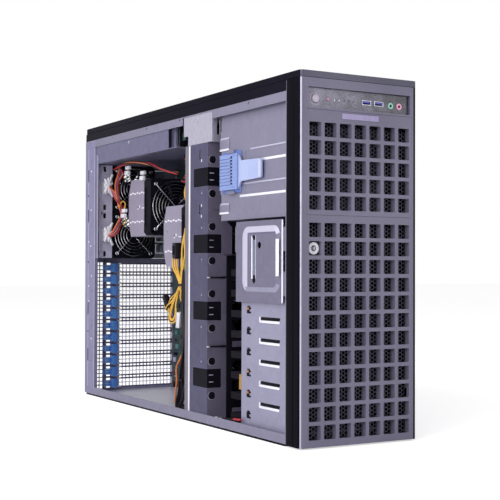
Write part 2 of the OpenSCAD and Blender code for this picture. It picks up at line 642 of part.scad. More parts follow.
module psu_cage() color(steel) {
    z0 = psu_z - psu_gap - sheet_t;
    difference() {
        block([cage_x[0], psu_cage_y, z0], [cage_x[1], y_rear_in, z0 + sheet_t]);
        block([cage_x[0] + 14, psu_cage_y - 1, z0 - 1], [cage_x[1] - 14, psu_cage_y + 16, z0 + 3]);
    }
    walls = [cage_x[0], psu_x[0] - run_gap - sheet_t, (psu_x[0] + psu_w + psu_x[1] - sheet_t) / 2,
        psu_x[1] + psu_w + run_gap];
    for (x = walls) block([x, psu_cage_y + 30, z0], [x + sheet_t, y_rear_in, z_ceil]);
}

// A slide-in supply: case with a rear fan opening, inlet, handle and release tab.
module power_supply(n) {
    x0 = psu_x[n - 1];
    y0 = y_rear - psu_l;
    translate([x0, y0, psu_z]) {
        color([0.70, 0.70, 0.72]) difference() {
            block([0, 0, 0], [psu_w, psu_l, psu_h]);
            translate([psu_h / 2 + 3, 0, psu_h / 2]) plate_y(psu_l - 14, 15)
                for (a = [-2:2]) for (b = [-2:2]) if (norm([a, b]) < 2.9) translate([a * 6.6, b * 6.6]) circle(r = 2.7, $fn = 6);
            block([psu_w - 30, psu_l - 16, 6], [psu_w - 6, psu_l + 1, 24]);
            block([4, -1, 4], [psu_w - 4, 5, psu_h - 4]);
        }
        // Inlet pins and body.
        color(black_plastic) difference() {
            block([psu_w - 30, psu_l - 16, 6], [psu_w - 6, psu_l, 24]);
            block([psu_w - 27, psu_l - 14, 8], [psu_w - 9, psu_l + 1, 22]);
        }
        for (k = [-1:1]) color(bright_steel) block([psu_w - 19 + k * 6, psu_l - 15, 13], [psu_w - 17 + k * 6, psu_l - 3, 17]);
        color(black_plastic) handle_loop();
        color([0.55, 0.1, 0.1]) block([psu_w - 26, psu_l - 1, 28], [psu_w - 12, psu_l + 9, 32]);
    }
}

// The handle: a bent bar across the supply's rear face.
module handle_loop() plate_x(psu_h / 2, 6) difference() {
    polygon([[psu_l - 1, 3], [psu_l + handle_out - 5, 3], [psu_l + handle_out, 8], [psu_l + handle_out, psu_h - 8],
        [psu_l + handle_out - 5, psu_h - 3], [psu_l - 1, psu_h - 3]]);
    polygon([[psu_l, 7], [psu_l + handle_out - 7, 7], [psu_l + handle_out - 4, 10],
        [psu_l + handle_out - 4, psu_h - 10], [psu_l + handle_out - 7, psu_h - 7], [psu_l, psu_h - 7]]);
}

// Power board in front of the supplies, with a mating socket for each.
module power_board() {
    y0 = y_rear - psu_l - 11;
    span = case_w - 58;
    color(board_green) block([cage_x[0] + 10, y0 - 1.6, psu_z], [cage_x[1] - 8, y0, z_ceil - 2]);
    color(black_plastic) for (x = psu_x) block([x + 10, y0, psu_z + 8], [x + psu_w - 10, y0 + 10.5, psu_z + 24]);
    color(black_plastic) for (k = [0:5]) translate([x_open + 16 + k * span / 5, 0, 0])
        block([0, y0 - 13, psu_z + 10], [18, y0 - 1.6, psu_z + 22]);
    color(bright_steel) for (k = [0:3]) rod_y([x_open + 24 + k * span / 3, y0 - 11, psu_z + 31], 3.8, 9.4, $fn = 24);
}

// ---- Bays ----

cage_x0 = -cage_w / 2;
cage_x1 = cage_w / 2;
bay_y1 = y_chassis + 185;
bay_mid_y = y_chassis + 128;                     // front end of the latch block

module bay_cage() color(steel) {
    z0 = bay_z - 1 - sheet_t;
    difference() {
        union() {
            block([cage_x0, y_chassis + sheet_t, z0], [cage_x1, bay_y1, z0 + sheet_t]);
            for (x = [cage_x0, cage_x1 - sheet_t]) block([x, y_chassis + sheet_t, z0], [x + sheet_t, bay_y1, z_ceil]);
            // Ledges that carry what sits in the bays.
            for (k = [1:2]) for (s = [0, 1]) translate([s * (cage_w - 7), 0, 0])
                block([cage_x0, y_chassis + 8, bay_z + k * bay_pitch - 0.5], [cage_x0 + 7, bay_y1 - 20, bay_z + k * bay_pitch + 0.5]);
        }
        // Drawn bands along the open side.
        for (z = [bay_z + 27, bay_z + 72]) plate_x(cage_x0 - 1, 1.6)
            polygon([[y_chassis - 1, z], [bay_mid_y - 12, z], [bay_mid_y - 9, z + 3], [bay_mid_y - 9, z + 14],
                [bay_mid_y - 12, z + 17], [y_chassis - 1, z + 17]]);
    }
    // Ears that guide the latch.
    for (s = [-1, 1]) translate([0, 0, latch_z + s * (latch_h / 2 + run_gap)]) {
        block([cage_x0 - 4.6, bay_mid_y + 14, min(0, s * sheet_t)], [cage_x0, bay_mid_y + 34, max(0, s * sheet_t)]);
        block([cage_x0 - 4.6, bay_mid_y + 14, min(s * sheet_t, -s * 3)], [cage_x0 - 3.4, bay_mid_y + 34, max(s * sheet_t, -s * 3)]);
    }
    for (z = [bay_z + 34, bay_z + 112]) block([cage_x0, bay_y1, z], [cage_x0 + sheet_t, bay_y1 + 2.5, z + 9]);
}

latch_h = 56;
latch_z = bay_z + 62.5;

// A latch that slides along the cage's side: ribbed block, base and thumb tongue.
module bay_latch() color(latch_blue) {
    x1 = cage_x0 - 0.3;
    difference() {
        union() {
            // Base between the ears.
            block([x1 - 2.6, bay_mid_y, latch_z - latch_h / 2], [x1, bay_mid_y + 48, latch_z + latch_h / 2]);
            block([x1 - 7.5, bay_mid_y, latch_z - latch_h / 2 + 4], [x1, bay_mid_y + 48, latch_z + latch_h / 2 - 4]);
            plate_x(x1 - 5, 2.4) polygon([[bay_mid_y, latch_z - 22], [bay_mid_y - 6, latch_z - 14],
                [bay_mid_y - 58, latch_z - 12.5], [bay_mid_y - 60, latch_z - 10], [bay_mid_y - 60, latch_z + 10],
                [bay_mid_y - 58, latch_z + 12.5], [bay_mid_y - 6, latch_z + 14], [bay_mid_y, latch_z + 22]]);
        }
        for (k = [-4:4]) block([x1 - 8.5, bay_mid_y + 12, latch_z + k * 4.4 - 0.8], [x1 - 6, bay_mid_y + 47, latch_z + k * 4.4 + 0.8]);
        for (k = [-4:4]) block([x1 - 8.5, bay_mid_y + 13, latch_z + k * 4.4 + 0.6], [x1 - 5, bay_mid_y + 18, latch_z + k * 4.4 + 2.8]);
    }
}

// Closed blanks in the mouths of the three large bays.
module bay_blanks() color(steel) for (k = [0:2]) {
    z0 = bay_z + k * bay_pitch;
    difference() {
        block([cage_x0 + sheet_t + gap, y_chassis + 2, z0 + 1], [cage_x1 - sheet_t - gap, y_chassis + 20, z0 + bay_pitch - 1]);
        block([cage_x0 + 4, y_chassis + 3.2, z0 + 2.2], [cage_x1 - 4, y_chassis + 21, z0 + bay_pitch - 2.2]);
        plate_y(y_chassis + 1, 4) translate([0, z0 + bay_pitch / 2]) grid(16, 4, cage_w / 16 - 1, 8) circle(r = 3, $fn = 6);
    }
}

drive_y1 = y_chassis + 127;                      // rear edge of the drive cage's side
back_y = y_chassis + 178;                        // the drive backplane
cage_top = carrier_z + carriers_h + 1;

module drive_cage() color(steel) {
    difference() {
        union() {
            for (z = [carrier_z - 1 - sheet_t, cage_top]) block([cage_x0, y_chassis + sheet_t, z], [cage_x1, back_y, z + sheet_t]);
            for (x = [cage_x0, cage_x1 - sheet_t]) block([x, y_chassis + sheet_t, carrier_z - 1 - sheet_t], [x + sheet_t, drive_y1, cage_top + sheet_t]);
            // Feet that stand on the case floor.
            for (x = [cage_x0 + 8, cage_x1 - 20]) for (y = [20, 110])
                block([x, y_chassis + y, z_floor], [x + 12, y_chassis + y + 18, carrier_z - 1 - sheet_t]);
            // Runners under each carrier.
            for (i = [0:carrier_count - 1]) for (x = [cage_x0, cage_x1 - 8])
                block([x, y_chassis + 6, carrier_z + i * carrier_pitch - 0.8], [x + 8, drive_y1 - 4, carrier_z + i * carrier_pitch]);
        }
        for (i = [0:carrier_count - 1]) translate([0, 0, carrier_z + (i + 0.5) * carrier_pitch]) cage_window();
        for (i = [0:carrier_count - 2]) translate([0, 0, carrier_z + (i + 1) * carrier_pitch]) cage_slot();
    }
}

// A square window by the rear of each carrier.
module cage_window() plate_x(cage_x0 - 1, 4) translate([drive_y1 - 19, -1]) square([8, 8], center = true);

// A long slot between two carriers, just above the runner.
module cage_slot() block([cage_x0 - 1, y_chassis + 28, 0.2], [cage_x0 + 4, y_chassis + 75, 3.4]);

// A drawn cover plate over the upper part of the drive cage.
cover_z = [cage_top - 62, bay_z - 6];
cover_x = x_open + 3;

cover_y = [y_chassis + 13, y_chassis + 132];
panel_out = 2;                                   // how far its panel is drawn out

module drive_cover_plate() color(steel) {
    y0 = y_chassis + sheet_t;
    h = cover_z[1] - cover_z[0];
    difference() {
        union() {
            plate_x(cover_x, sheet_t) difference() {
                cut_rect([cover_y[0], cover_z[0]], [cover_y[1], cover_z[1]], 1);
                drawn_panel(3);
            }
            // The panel, drawn out on sloping walls.
            difference() {
                hull() {
                    plate_x(cover_x, 0.1) drawn_panel(0);
                    plate_x(cover_x - panel_out, 0.1) drawn_panel(6);
                }
                hull() {
                    plate_x(cover_x + sheet_t, 0.1) drawn_panel(0.6);
                    plate_x(cover_x + sheet_t - panel_out, 0.1) drawn_panel(6.6);
                }
            }
            plate_x(cover_x, sheet_t) difference() {
                drawn_panel(-1);
                drawn_panel(1.4);
            }
            plate_x(cover_x - panel_out, sheet_t) drawn_panel(6);
            // Flanges by which it hangs on the case front.
            for (z = [cover_z[0] + 10, cover_z[1] - 40]) {
                block([cover_x, y0, z], [cage_x0 - gap, y0 + sheet_t, z + 30]);
                block([cover_x, y0, z], [cover_x + sheet_t, cover_y[0] + 1, z + 30]);
            }
            // Tab on the rear edge.
            block([cover_x, cover_y[1] - 1, cover_z[1] - 40], [cover_x + sheet_t, cover_y[1] + 2.5, cover_z[1] - 6]);
        }
        plate_x(cover_x - 4, 8) translate([y_chassis + 81.5, cover_z[0] + h * 0.53]) cut_rect([-4.5, -32], [4.5, 32], 3.6);
        plate_x(cover_x - 4, 8) translate([y_chassis + 67.5, cover_z[0] + h * 0.7]) circle(r = 4.6, $fn = 28);
    }
}

// Outline of the drawn panel, inset by a margin.
module drawn_panel(m) polygon(round_rect([cover_y[0] + 6 + m, cover_z[0] + 14 + m], [cover_y[1] - 17 - m, cover_z[1] - 7 - m], 14 - m));

// Eight carriers, each a tray with a drive, a vented front and its lever.
module drive_carriers() for (i = [0:carrier_count - 1]) translate([0, y_chassis, carrier_z + i * carrier_pitch + 0.3]) carrier();

carrier_w = cage_w - 2 * sheet_t - 2;
carrier_l = 160;
drive_w = 101.6;

module carrier() {
    w = carrier_w / 2;
    h = carrier_pitch - 1.8;
    vent_dx = (carrier_w - 35.6) / 12;
    color(black_plastic) {
        difference() {
            block([-w, -2, 0], [w, 14, h]);
            plate_y(-3, 20) translate([8, h / 2]) grid(12, 2, vent_dx, 9) square([vent_dx - 2.5, 6], center = true);
            block([-w + 4, -3, 3], [-w + 16, 6, h - 3]);
        }
        block([-w + 6, -4, 4], [-w + 13, 6, h - 4]);
        for (s = [-1, 1]) block([s * (w - 2) - 2, 14, 0], [s * (w - 2) + 2, carrier_l, 9]);
        block([-w, carrier_l - 4, 0], [w, carrier_l, 9]);
    }
    color(bright_steel) for (s = [-1, 1]) for (y = [40, 120])
        block([s * (w + drive_w / 2) / 2 - (w - drive_w / 2) / 2, y, 2], [s * (w + drive_w / 2) / 2 + (w - drive_w / 2) / 2, y + 8, 7]);
    color([0.35, 0.35, 0.37]) block([-drive_w / 2, 14, 1], [drive_w / 2, carrier_l, h - 1]);
}

// Backplane behind the carriers, with a socket for each drive.
module drive_backplane() {
    color(board_green) difference() {
        block([cage_x0 + 4, back_y - 1.6, carrier_z - 1 + gap], [cage_x1 - 4, back_y, cage_top - gap]);
        for (i = [0:carrier_count - 1]) for (s = [-1, 1]) translate([s * (cage_w / 4 + 14), back_y - 4, carrier_z + (i + 0.5) * carrier_pitch])
            rotate([-90, 0, 0]) linear_extrude(8) square([26, 17], center = true);
    }
    color(black_plastic) for (i = [0:carrier_count - 1])
        block([-22, y_chassis + carrier_l + gap, carrier_z + (i + 0.5) * carrier_pitch - 4], [22, back_y - 1.6, carrier_z + (i + 0.5) * carrier_pitch + 4]);
    color(black_plastic) for (k = [0:3]) block([-30 + k * 18, back_y, carrier_z + 60 + k * 30], [-18 + k * 18, back_y + 12, carrier_z + 70 + k * 30]);
}

// ---- Covers and bezel ----

corner_r = 6;
hinge_x = x_wall - barrel_r;
hinge_y = y_frame - run_gap - barrel_r;
door_z = [base_h - 1.5, z_groove - 0.6];
hinge_zs = [60, z_groove - 70];
knuckle_h = 12;
frame_back = 3;                                  // thickness of the frame's back

module top_cover() color(black_plastic) {
    difference() {
        union() {
            translate([0, 0, z_groove]) linear_extrude(slab_h) polygon(round_rect([x_open, y_front], [x_wall, y_rear], corner_r));
            translate([0, 0, z_top]) linear_extrude(top_cover_h - slab_h)
                polygon(round_rect([x_open, y_chassis], [x_wall, y_rear], 2));
        }
        // Hollow underside, crossed by ribs.
        for (k = [0:3]) block([x_open + 3, y_chassis + 3 + k * (chassis_d - 3) / 4, z_top - 1],
            [x_wall - 3, y_chassis + (k + 1) * (chassis_d - 3) / 4, z_groove + slab_h - 3]);
        // The groove under the slab.
        translate([0, 0, z_groove - 1.2]) linear_extrude(1.2) difference() {
            translate([x_open - 1, y_chassis - 1]) square([case_w + 2, chassis_d + 2]);
            polygon(round_rect([x_open + 1, y_chassis - 2], [x_wall - 1, y_rear - 1], 2));
        }
    }
}

module base_plate() color(black_plastic)
    linear_extrude(base_h) polygon(round_rect([x_open + 1, y_chassis + 1], [x_wall - 1, y_rear - 1], corner_r));

module bezel_frame() color(bezel_grey) {
    difference() {
        translate([0, 0, door_z[0]]) linear_extrude(door_z[1] - door_z[0])
            polygon(round_rect([x_open, y_frame], [x_wall, y_chassis], 1.2));
        block([x_open + bezel_wall, y_frame - 1, door_z[0] + bezel_wall], [x_wall - bezel_wall, y_chassis - frame_back, door_z[1] - bezel_wall]);
        // Mouths in the back of the frame for the carriers, the bays and the panel's cable.
        block([-cage_w / 2 + 1, y_frame, carrier_z - 2], [cage_w / 2 - 1, y_chassis + 1, carrier_z + carriers_h + 1]);
        block([-cage_w / 2 + 1, y_frame, bay_z], [cage_w / 2 - 1, y_chassis + 1, bay_z + bays_h - 1]);
        block([-40, y_frame, bay_z + bays_h + 6], [40, y_chassis + 1, z_top - 10]);
    }
    for (z = hinge_zs) hinge_ear(z);
    // Hook that the lock's cam turns behind.
    hook_y = cam_y - run_gap - hook_t;
    block([x_open + 5.2, hook_y, lock_z - 8], [x_open + 7.4, y_chassis - frame_back, lock_z + 8]);
    block([x_open + 5.2, hook_y, lock_z - 8], [x_open + 13, hook_y + hook_t, lock_z + 8]);
    block([x_open + 1, y_frame + 3, lock_z - 8], [x_open + 7.4, y_frame + 6, lock_z + 8]);
}

// A hinge ear on the frame, with a pin that reaches up and down into the door's barrels.
module hinge_ear(z) {
    translate([hinge_x, hinge_y, z - knuckle_h / 2]) {
        cylinder(r = barrel_r - 1, h = knuckle_h);
        block([-barrel_r + 1, 0, 0], [barrel_r - 1, barrel_r + run_gap + 2, knuckle_h]);
    }
    translate([hinge_x, hinge_y, z - knuckle_h / 2 - 7]) cylinder(r = pin_r, h = knuckle_h + 14);
}

// Windows of a grille, counted from its first row.
module windows(rows, z0) for (i = [0:window_cols - 1]) for (j = [0:rows - 1])
    translate([(i - (window_cols - 1) / 2) * window_dx, z0 + j * window_pitch])
        cut_rect([-window_w / 2, -window_w / 2], [window_w / 2, window_w / 2], 1.2);

first_row_z = base_h + 16.5;
bay_row_z = bay_z + 13;
bay_cover_z = [bay_z - 2.5, bay_z + bays_h];
grille_x = window_cols * window_dx / 2 + 0.8;
lock_x = -(window_cols - 1) / 2 * window_dx;
lock_z = first_row_z + (window_rows - 2) * window_pitch;
mesh_y = y_front + grille_d + gap;
mesh_t = 0.8;
hook_t = 2;
cam_y = mesh_y + mesh_t + 2 * run_gap + hook_t;
cam_reach = lock_x - x_open - 8.4;

module bezel_door() color(bezel_grey) {
    difference() {
        union() {
            translate([0, 0, door_z[0]]) linear_extrude(door_z[1] - door_z[0]) difference() {
                door_outline();
                polygon(round_rect([x_open + bezel_wall, y_front + bezel_wall], [x_wall - bezel_wall, y_frame + 1], 1));
            }
            for (z = door_z + [0, -bezel_wall]) translate([0, 0, z]) linear_extrude(bezel_wall) door_outline();
            block([-grille_x, y_front + 1, door_z[0] + 2], [grille_x, y_front + grille_d, first_row_z + (window_rows - 0.5) * window_pitch + 3]);
            // Frame round the mouth of the bay cover.
            block([-grille_x - 2.5, y_front + 1, bay_cover_z[0] - 3], [grille_x + 2.5, y_front + grille_d, bay_cover_z[1] + 1]);
            for (z = hinge_zs) translate([hinge_x, hinge_y, z - knuckle_h / 2 - 12]) cylinder(r = barrel_r - 0.2, h = knuckle_h + 24);
            // Boss that holds the lock.
            rod_y([lock_x, y_front + 2, lock_z], lock_r + 1.6, grille_d);
            block([lock_x - window_w / 2 - 1, y_front + 5, lock_z - window_w / 2 - 1],
                [lock_x + window_w / 2 + 1, y_front + grille_d, lock_z + window_w / 2 + 1]);
        }
        plate_y(y_front - 1, grille_d + 2) difference() {
            windows(window_rows, first_row_z);
            translate([lock_x, lock_z]) square(window_w + 3, center = true);
        }
        // Recess and bore of the lock.
        plate_y(y_front - 1, 6) translate([lock_x, lock_z]) cut_rect([-window_w / 2, -window_w / 2], [window_w / 2, window_w / 2], 1.2);
        rod_y([lock_x, y_front, lock_z], lock_r + pin_gap, grille_d + 10);
        // Mouth of the bay cover, and the control panel's window.
        block([-grille_x - gap, y_front - 1, bay_cover_z[0]], [grille_x + gap, y_front + grille_d + 1, bay_cover_z[1]]);
        block([-case_w / 2 + 11, y_front - 1, panel_z - panel_h], [case_w / 2 - 11, y_front + bezel_wall + 1, panel_z]);
        for (z = hinge_zs) {
            translate([hinge_x, hinge_y, z - knuckle_h / 2 - 7.5]) cylinder(r = pin_r + pin_gap, h = knuckle_h + 15);
            block([hinge_x - 2 * barrel_r, hinge_y - barrel_r - 2, z - knuckle_h / 2 - run_gap],
                [x_wall + 1, y_frame + 1, z + knuckle_h / 2 + run_gap]);
        }
    }
}

// The door seen from above: soft front corners, and a rear corner that turns about the hinge.
module door_outline() polygon(concat(
    round_corner([x_wall - corner_r, y_front + corner_r], corner_r, -90),
    round_corner([hinge_x, hinge_y], barrel_r, 0, 8),
    [[x_open + 1, y_frame - run_gap], [x_open, y_frame - run_gap - 1]],
    round_corner([x_open + corner_r, y_front + corner_r], corner_r, 180)));

module bay_cover() color(bezel_grey) difference() {
    block([-grille_x, y_front, bay_cover_z[0] + gap], [grille_x, y_front + grille_d, bay_cover_z[1] - gap]);
    plate_y(y_front - 1, grille_d + 2) windows(bay_rows, bay_row_z);
    // Groove round the bare badge plate.
    plate_y(y_front - 1, 1.4) translate([0, bay_cover_z[1] - 6.2]) difference() {
        square([57, 8.5], center = true);
        square([55.8, 7.3], center = true);
    }
}

// Perforated metal behind the grille, with a hole for the lock.
module door_mesh() color(black_plastic) difference() {
    union() {
        block([-grille_x, mesh_y, first_row_z - 12], [grille_x, mesh_y + mesh_t, first_row_z + (window_rows - 0.5) * window_pitch + 1]);
        block([-grille_x, mesh_y, bay_row_z - 12], [grille_x, mesh_y + mesh_t, bay_row_z + (bay_rows - 0.5) * window_pitch + 1]);
    }
    rod_y([lock_x, mesh_y - 1, lock_z], lock_r + 3, 3);
    n = floor(window_pitch / mesh_pitch);
    plate_y(mesh_y - 1, 3) for (i = [0:window_cols - 1]) for (z0 = [first_row_z, bay_row_z])
        for (j = [0:(z0 == first_row_z ? window_rows : bay_rows) - 1])
            translate([(i - (window_cols - 1) / 2) * window_dx, z0 + j * window_pitch])
                if (norm([i, z0 + j * window_pitch - lock_z]) > 1)
                    grid(n, n, mesh_pitch, mesh_pitch) circle(r = mesh_pitch / 2 - 0.5, $fn = 6);
}

// Lock barrel with a keyway in front and a cam behind the door.
module lock_barrel() color([0.85, 0.85, 0.85]) difference() {
    union() {
        rod_y([lock_x, y_front + 3.4, lock_z], lock_r, cam_y - y_front - 3.4);
        rod_y([lock_x, y_front + 3.4, lock_z], lock_r + 1, 1.4);
        translate([lock_x, cam_y, lock_z]) block([-4, 0, -cam_reach], [4, hook_t, 4]);
    }
    rod_y([lock_x, y_front + 2.4, lock_z], lock_r - 2.2, 2.6);
    block([lock_x - 0.8, y_front + 3, lock_z - 3], [lock_x + 0.8, y_front + 12, lock_z + 3]);
}

// ---- Control panel ----

panel_y = y_front + bezel_wall + 0.5;
panel_x = case_w / 2 - 10;
panel_t = 3;
panel_back = y_chassis - frame_back;
collar_t = 1.6;
press = 1.2;                                     // travel of the buttons
switch_y = panel_y + panel_t + gap + collar_t + press + gap;
panel_mid = panel_z - panel_h / 2;
power_at = [14.3 - panel_x, panel_mid - 1.2];
reset_at = [32.2 - panel_x, panel_mid - 0.8];
usb_xs = [panel_x - 66.9, panel_x - 47.8];
jack_xs = [panel_x - 29.2, panel_x - 15.8];

module control_panel() color([0.45, 0.45, 0.50]) difference() {
    union() {
        difference() {
            block([-panel_x, panel_y, panel_z - panel_h - 1], [panel_x, panel_back, panel_z + 1]);
            block([-panel_x + 2, panel_y + panel_t, panel_z - panel_h + 1], [panel_x - 2, panel_back - 2, panel_z - 1]);
        }
        // Switches behind the buttons.
        for (p = [power_at, reset_at]) block([p[0] - 3, switch_y, p[1] - 3], [p[0] + 3, panel_back - 1, p[1] + 3]);
    }
    rod_y([power_at[0], panel_y - 1, power_at[1]], power_r + 0.25, 5);
    rod_y([reset_at[0], panel_y - 1, reset_at[1]], reset_r + 0.25, 5);
    plate_y(panel_y - 1, 5) {
        for (x = usb_xs) translate([x, panel_mid - 1]) square([14.2, 6.2], center = true);
        for (x = jack_xs) translate([x, panel_mid - 2]) circle(r = 4.2, $fn = 32);
        for (k = [0:4]) translate([43 - panel_x + k * (panel_x - 51) / 4, panel_mid - 1]) circle(r = 1.1, $fn = 24);
    }
}

// A round button with a collar behind the panel that keeps it in.
module button(at, r) {
    rod_y([at[0], panel_y - button_out, at[1]], r, button_out + panel_t + gap);
    rod_y([at[0], panel_y + panel_t + gap, at[1]], r + 1.2, collar_t);
}
module power_button() color([0.85, 0.85, 0.87]) button(power_at, power_r);
module reset_button() color([0.75, 0.55, 0.60]) button(reset_at, reset_r);

module front_ports() {
    for (x = usb_xs) translate([x, panel_y, panel_mid - 1]) {
        color(bright_steel) difference() {
            block([-7, -0.2, -3], [7, 14, 3]);
            block([-6.2, -1, -2.2], [6.2, 12, 2.2]);
        }
        color([0.1, 0.25, 0.8]) block([-5.4, 0.4, 0], [5.4, 12, 1.8]);
    }
    for (x = jack_xs) color(x == jack_xs[0] ? [0.2, 0.7, 0.3] : [0.9, 0.4, 0.5]) translate([x, panel_y - 0.3, panel_mid - 2])
        difference() {
            rod_y([0, 0, 0], 4.05, 12, $fn = 32);
            rod_y([0, -1, 0], 1.8, 11, $fn = 24);
        }
}

// ---- Wiring and screws ----

// A round lead swept through its points.
function path_dir(p, i) = let (a = p[max(i - 1, 0)], b = p[min(i + 1, len(p) - 1)]) (b - a) / norm(b - a);
function path_ring(p, i, r, n) = let (d = path_dir(p, i), s = abs(d[2]) > 0.8 ? [1, 0, 0] : [0, 0, 1],
    u = cross(d, s) / norm(cross(d, s)), v = cross(d, u)) [for (k = [0:n - 1]) p[i] + r * (u * cos(k * 360 / n) + v * sin(k * 360 / n))];
module lead(p, r, n = 6) {
    m = len(p);
    polyhedron(points = [for (i = [0:m - 1]) each path_ring(p, i, r, n)],
        faces = concat([[for (k = [0:n - 1]) k]], [[for (k = [n - 1:-1:0]) (m - 1) * n + k]],
            [for (i = [0:m - 2]) for (k = [0:n - 1]) [i * n + k, (i + 1) * n + k, (i + 1) * n + (k + 1) % n, i * n + (k + 1) % n]]));
}

lead_r = 1.5;
plug_x = cooler_fan_x - cooler_fan_w / 2 - 7;
plug_at = [plug_x + 3, cooler_fan_at(1)[1] + 18, cooler_z[1] - 16];
tie_at = [plug_x + 1, plug_at[1] - 3, cooler_z[1] - 73];

module wiring() {
    socket_y = y_rear - psu_l - 24;
    sockets_end = [board_x - 9 - gap, board_y[0] + 30, slot_z(3) + 4];
    main_end = [board_x - 12 - gap, board_y[0] + 46, slot_z(8) + 5];
    // Harness from the power board down to the plug, and on to the board.
    color([0.95, 0.75, 0.15]) lead([[-64, socket_y - gap, psu_z + 16], [-64, socket_y - 9, psu_z + 15], [-64, socket_y - 13, psu_z + 4],
        [-64, socket_y - 10, psu_z - 20], [-63.5, -14, 330], [-62.5, 6, 288], plug_at + [-2, 0, 12]], lead_r);
    color([0.95, 0.80, 0.20]) lead([plug_at + [1, -2, -12], [-61, 22, 218], tie_at + [0, 1, 0], [-57, 40, 182], [-53, 56, 168],
        [-49, 52, 152], [-42, 44, 142], [-20, 42, 152], main_end - [22, 0, 3], main_end], lead_r);
    color(black_plastic) lead([plug_at + [-2, 3, -12], [-63, 27, 214], tie_at + [-2, 4, 0], [-60, 22, 160], [-54, 19, 134],
        [-30, 18, 108], sockets_end - [24, 0, 3], sockets_end], lead_r);
    color(black_plastic) translate(plug_at) cube([8, 12, 26], center = true);
    color(black_plastic) translate(tie_at + [-1, 2.5, -2]) cube([7, 9, 4], center = true);
    // Leads from the bracket to the exhaust fans.
    bx = x_open + 20;
    by = exhaust_y - 8.5;
    for (i = [0:1]) {
        s = i == 0 ? 1 : -1;
        z = exhaust_zc(i);
        color([0.90, 0.45, 0.25]) lead([[bx, by - 1, z], [bx + 4, by - 7, z + s * 2], [bx + 12, by - 8, z + s * 12],
            [bx + 17, by - 4, z + s * 26], [bx + 18, exhaust_y - 1.4, z + s * 33]], 1.2);
    }
}

// Pan-head screws: through the board, on the cages and on the open side's fittings.
module screw_x(p, r = 2.8, h = 1.6) translate(p) rotate([0, -90, 0]) difference() {
    cylinder(r = r, h = h, $fn = 24);
    for (a = [0, 90]) rotate(a) translate([-r * 0.7, -0.4, h - 0.7]) cube([r * 1.4, 0.8, 1]);
}

module case_screws() color(bright_steel) {
    for (p = standoffs) screw_x([board_x, p[0], p[1]]);
    screw_x([bracket_x, (beam_y[0] + beam_y[1]) / 2, z_ceil - 8], 3.2, 1);
    screw_x([cage_x[0], y_rear - 184, z_ceil - 16], 2.4, 0.7);
}

// ---- The part ----

chassis_shell();
rear_panel();
io_shield();
slot_covers();
motherboard();
board_sockets();
memory_modules();
cpu_cooler_rear();
cpu_cooler_front();
cooler_fan_rear();
cooler_fan_front();
exhaust_fans();
exhaust_bracket();
fan_guards();
fan_wall();
intake_fans();
psu_cage();
power_board();
bay_cage();
bay_blanks();
drive_cage();
drive_cover_plate();
drive_carriers();
drive_backplane();
top_cover();
base_plate();
bezel_frame();
control_panel();
front_ports();
crossbar_bracket();
wiring();
case_screws();
bezel_door();
bay_cover();
door_mesh();
lock_barrel();
power_button();
reset_button();
intake_rotor(1);  // intake_rotor_1
intake_rotor(2);  // intake_rotor_2
intake_rotor(3);  // intake_rotor_3
intake_rotor(4);  // intake_rotor_4
exhaust_rotor_lower();
exhaust_rotor_upper();
cooler_rotor_rear();
cooler_rotor_front();
power_supply(1);  // power_supply_1
power_supply(2);  // power_supply_2
bay_latch();
slot_clip(0);  // slot_clip_1
slot_clip(1);  // slot_clip_2
slot_clip(2);  // slot_clip_3
slot_clip(3);  // slot_clip_4
slot_clip(4);  // slot_clip_5
slot_clip(5);  // slot_clip_6
slot_clip(6);  // slot_clip_7
slot_clip(7);  // slot_clip_8
slot_clip(8);  // slot_clip_9
slot_clip(9);  // slot_clip_10
slot_clip(10);  // slot_clip_11
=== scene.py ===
"""Looks of the tower server: its finishes, fine pieces, camera and studio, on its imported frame."""

import json
import logging
from collections.abc import Callable, Iterable, Sequence
from dataclasses import dataclass, field
from enum import Enum
from math import cos, pi, radians, sin, tau

import bmesh
import bpy
from mathutils import Matrix, Vector

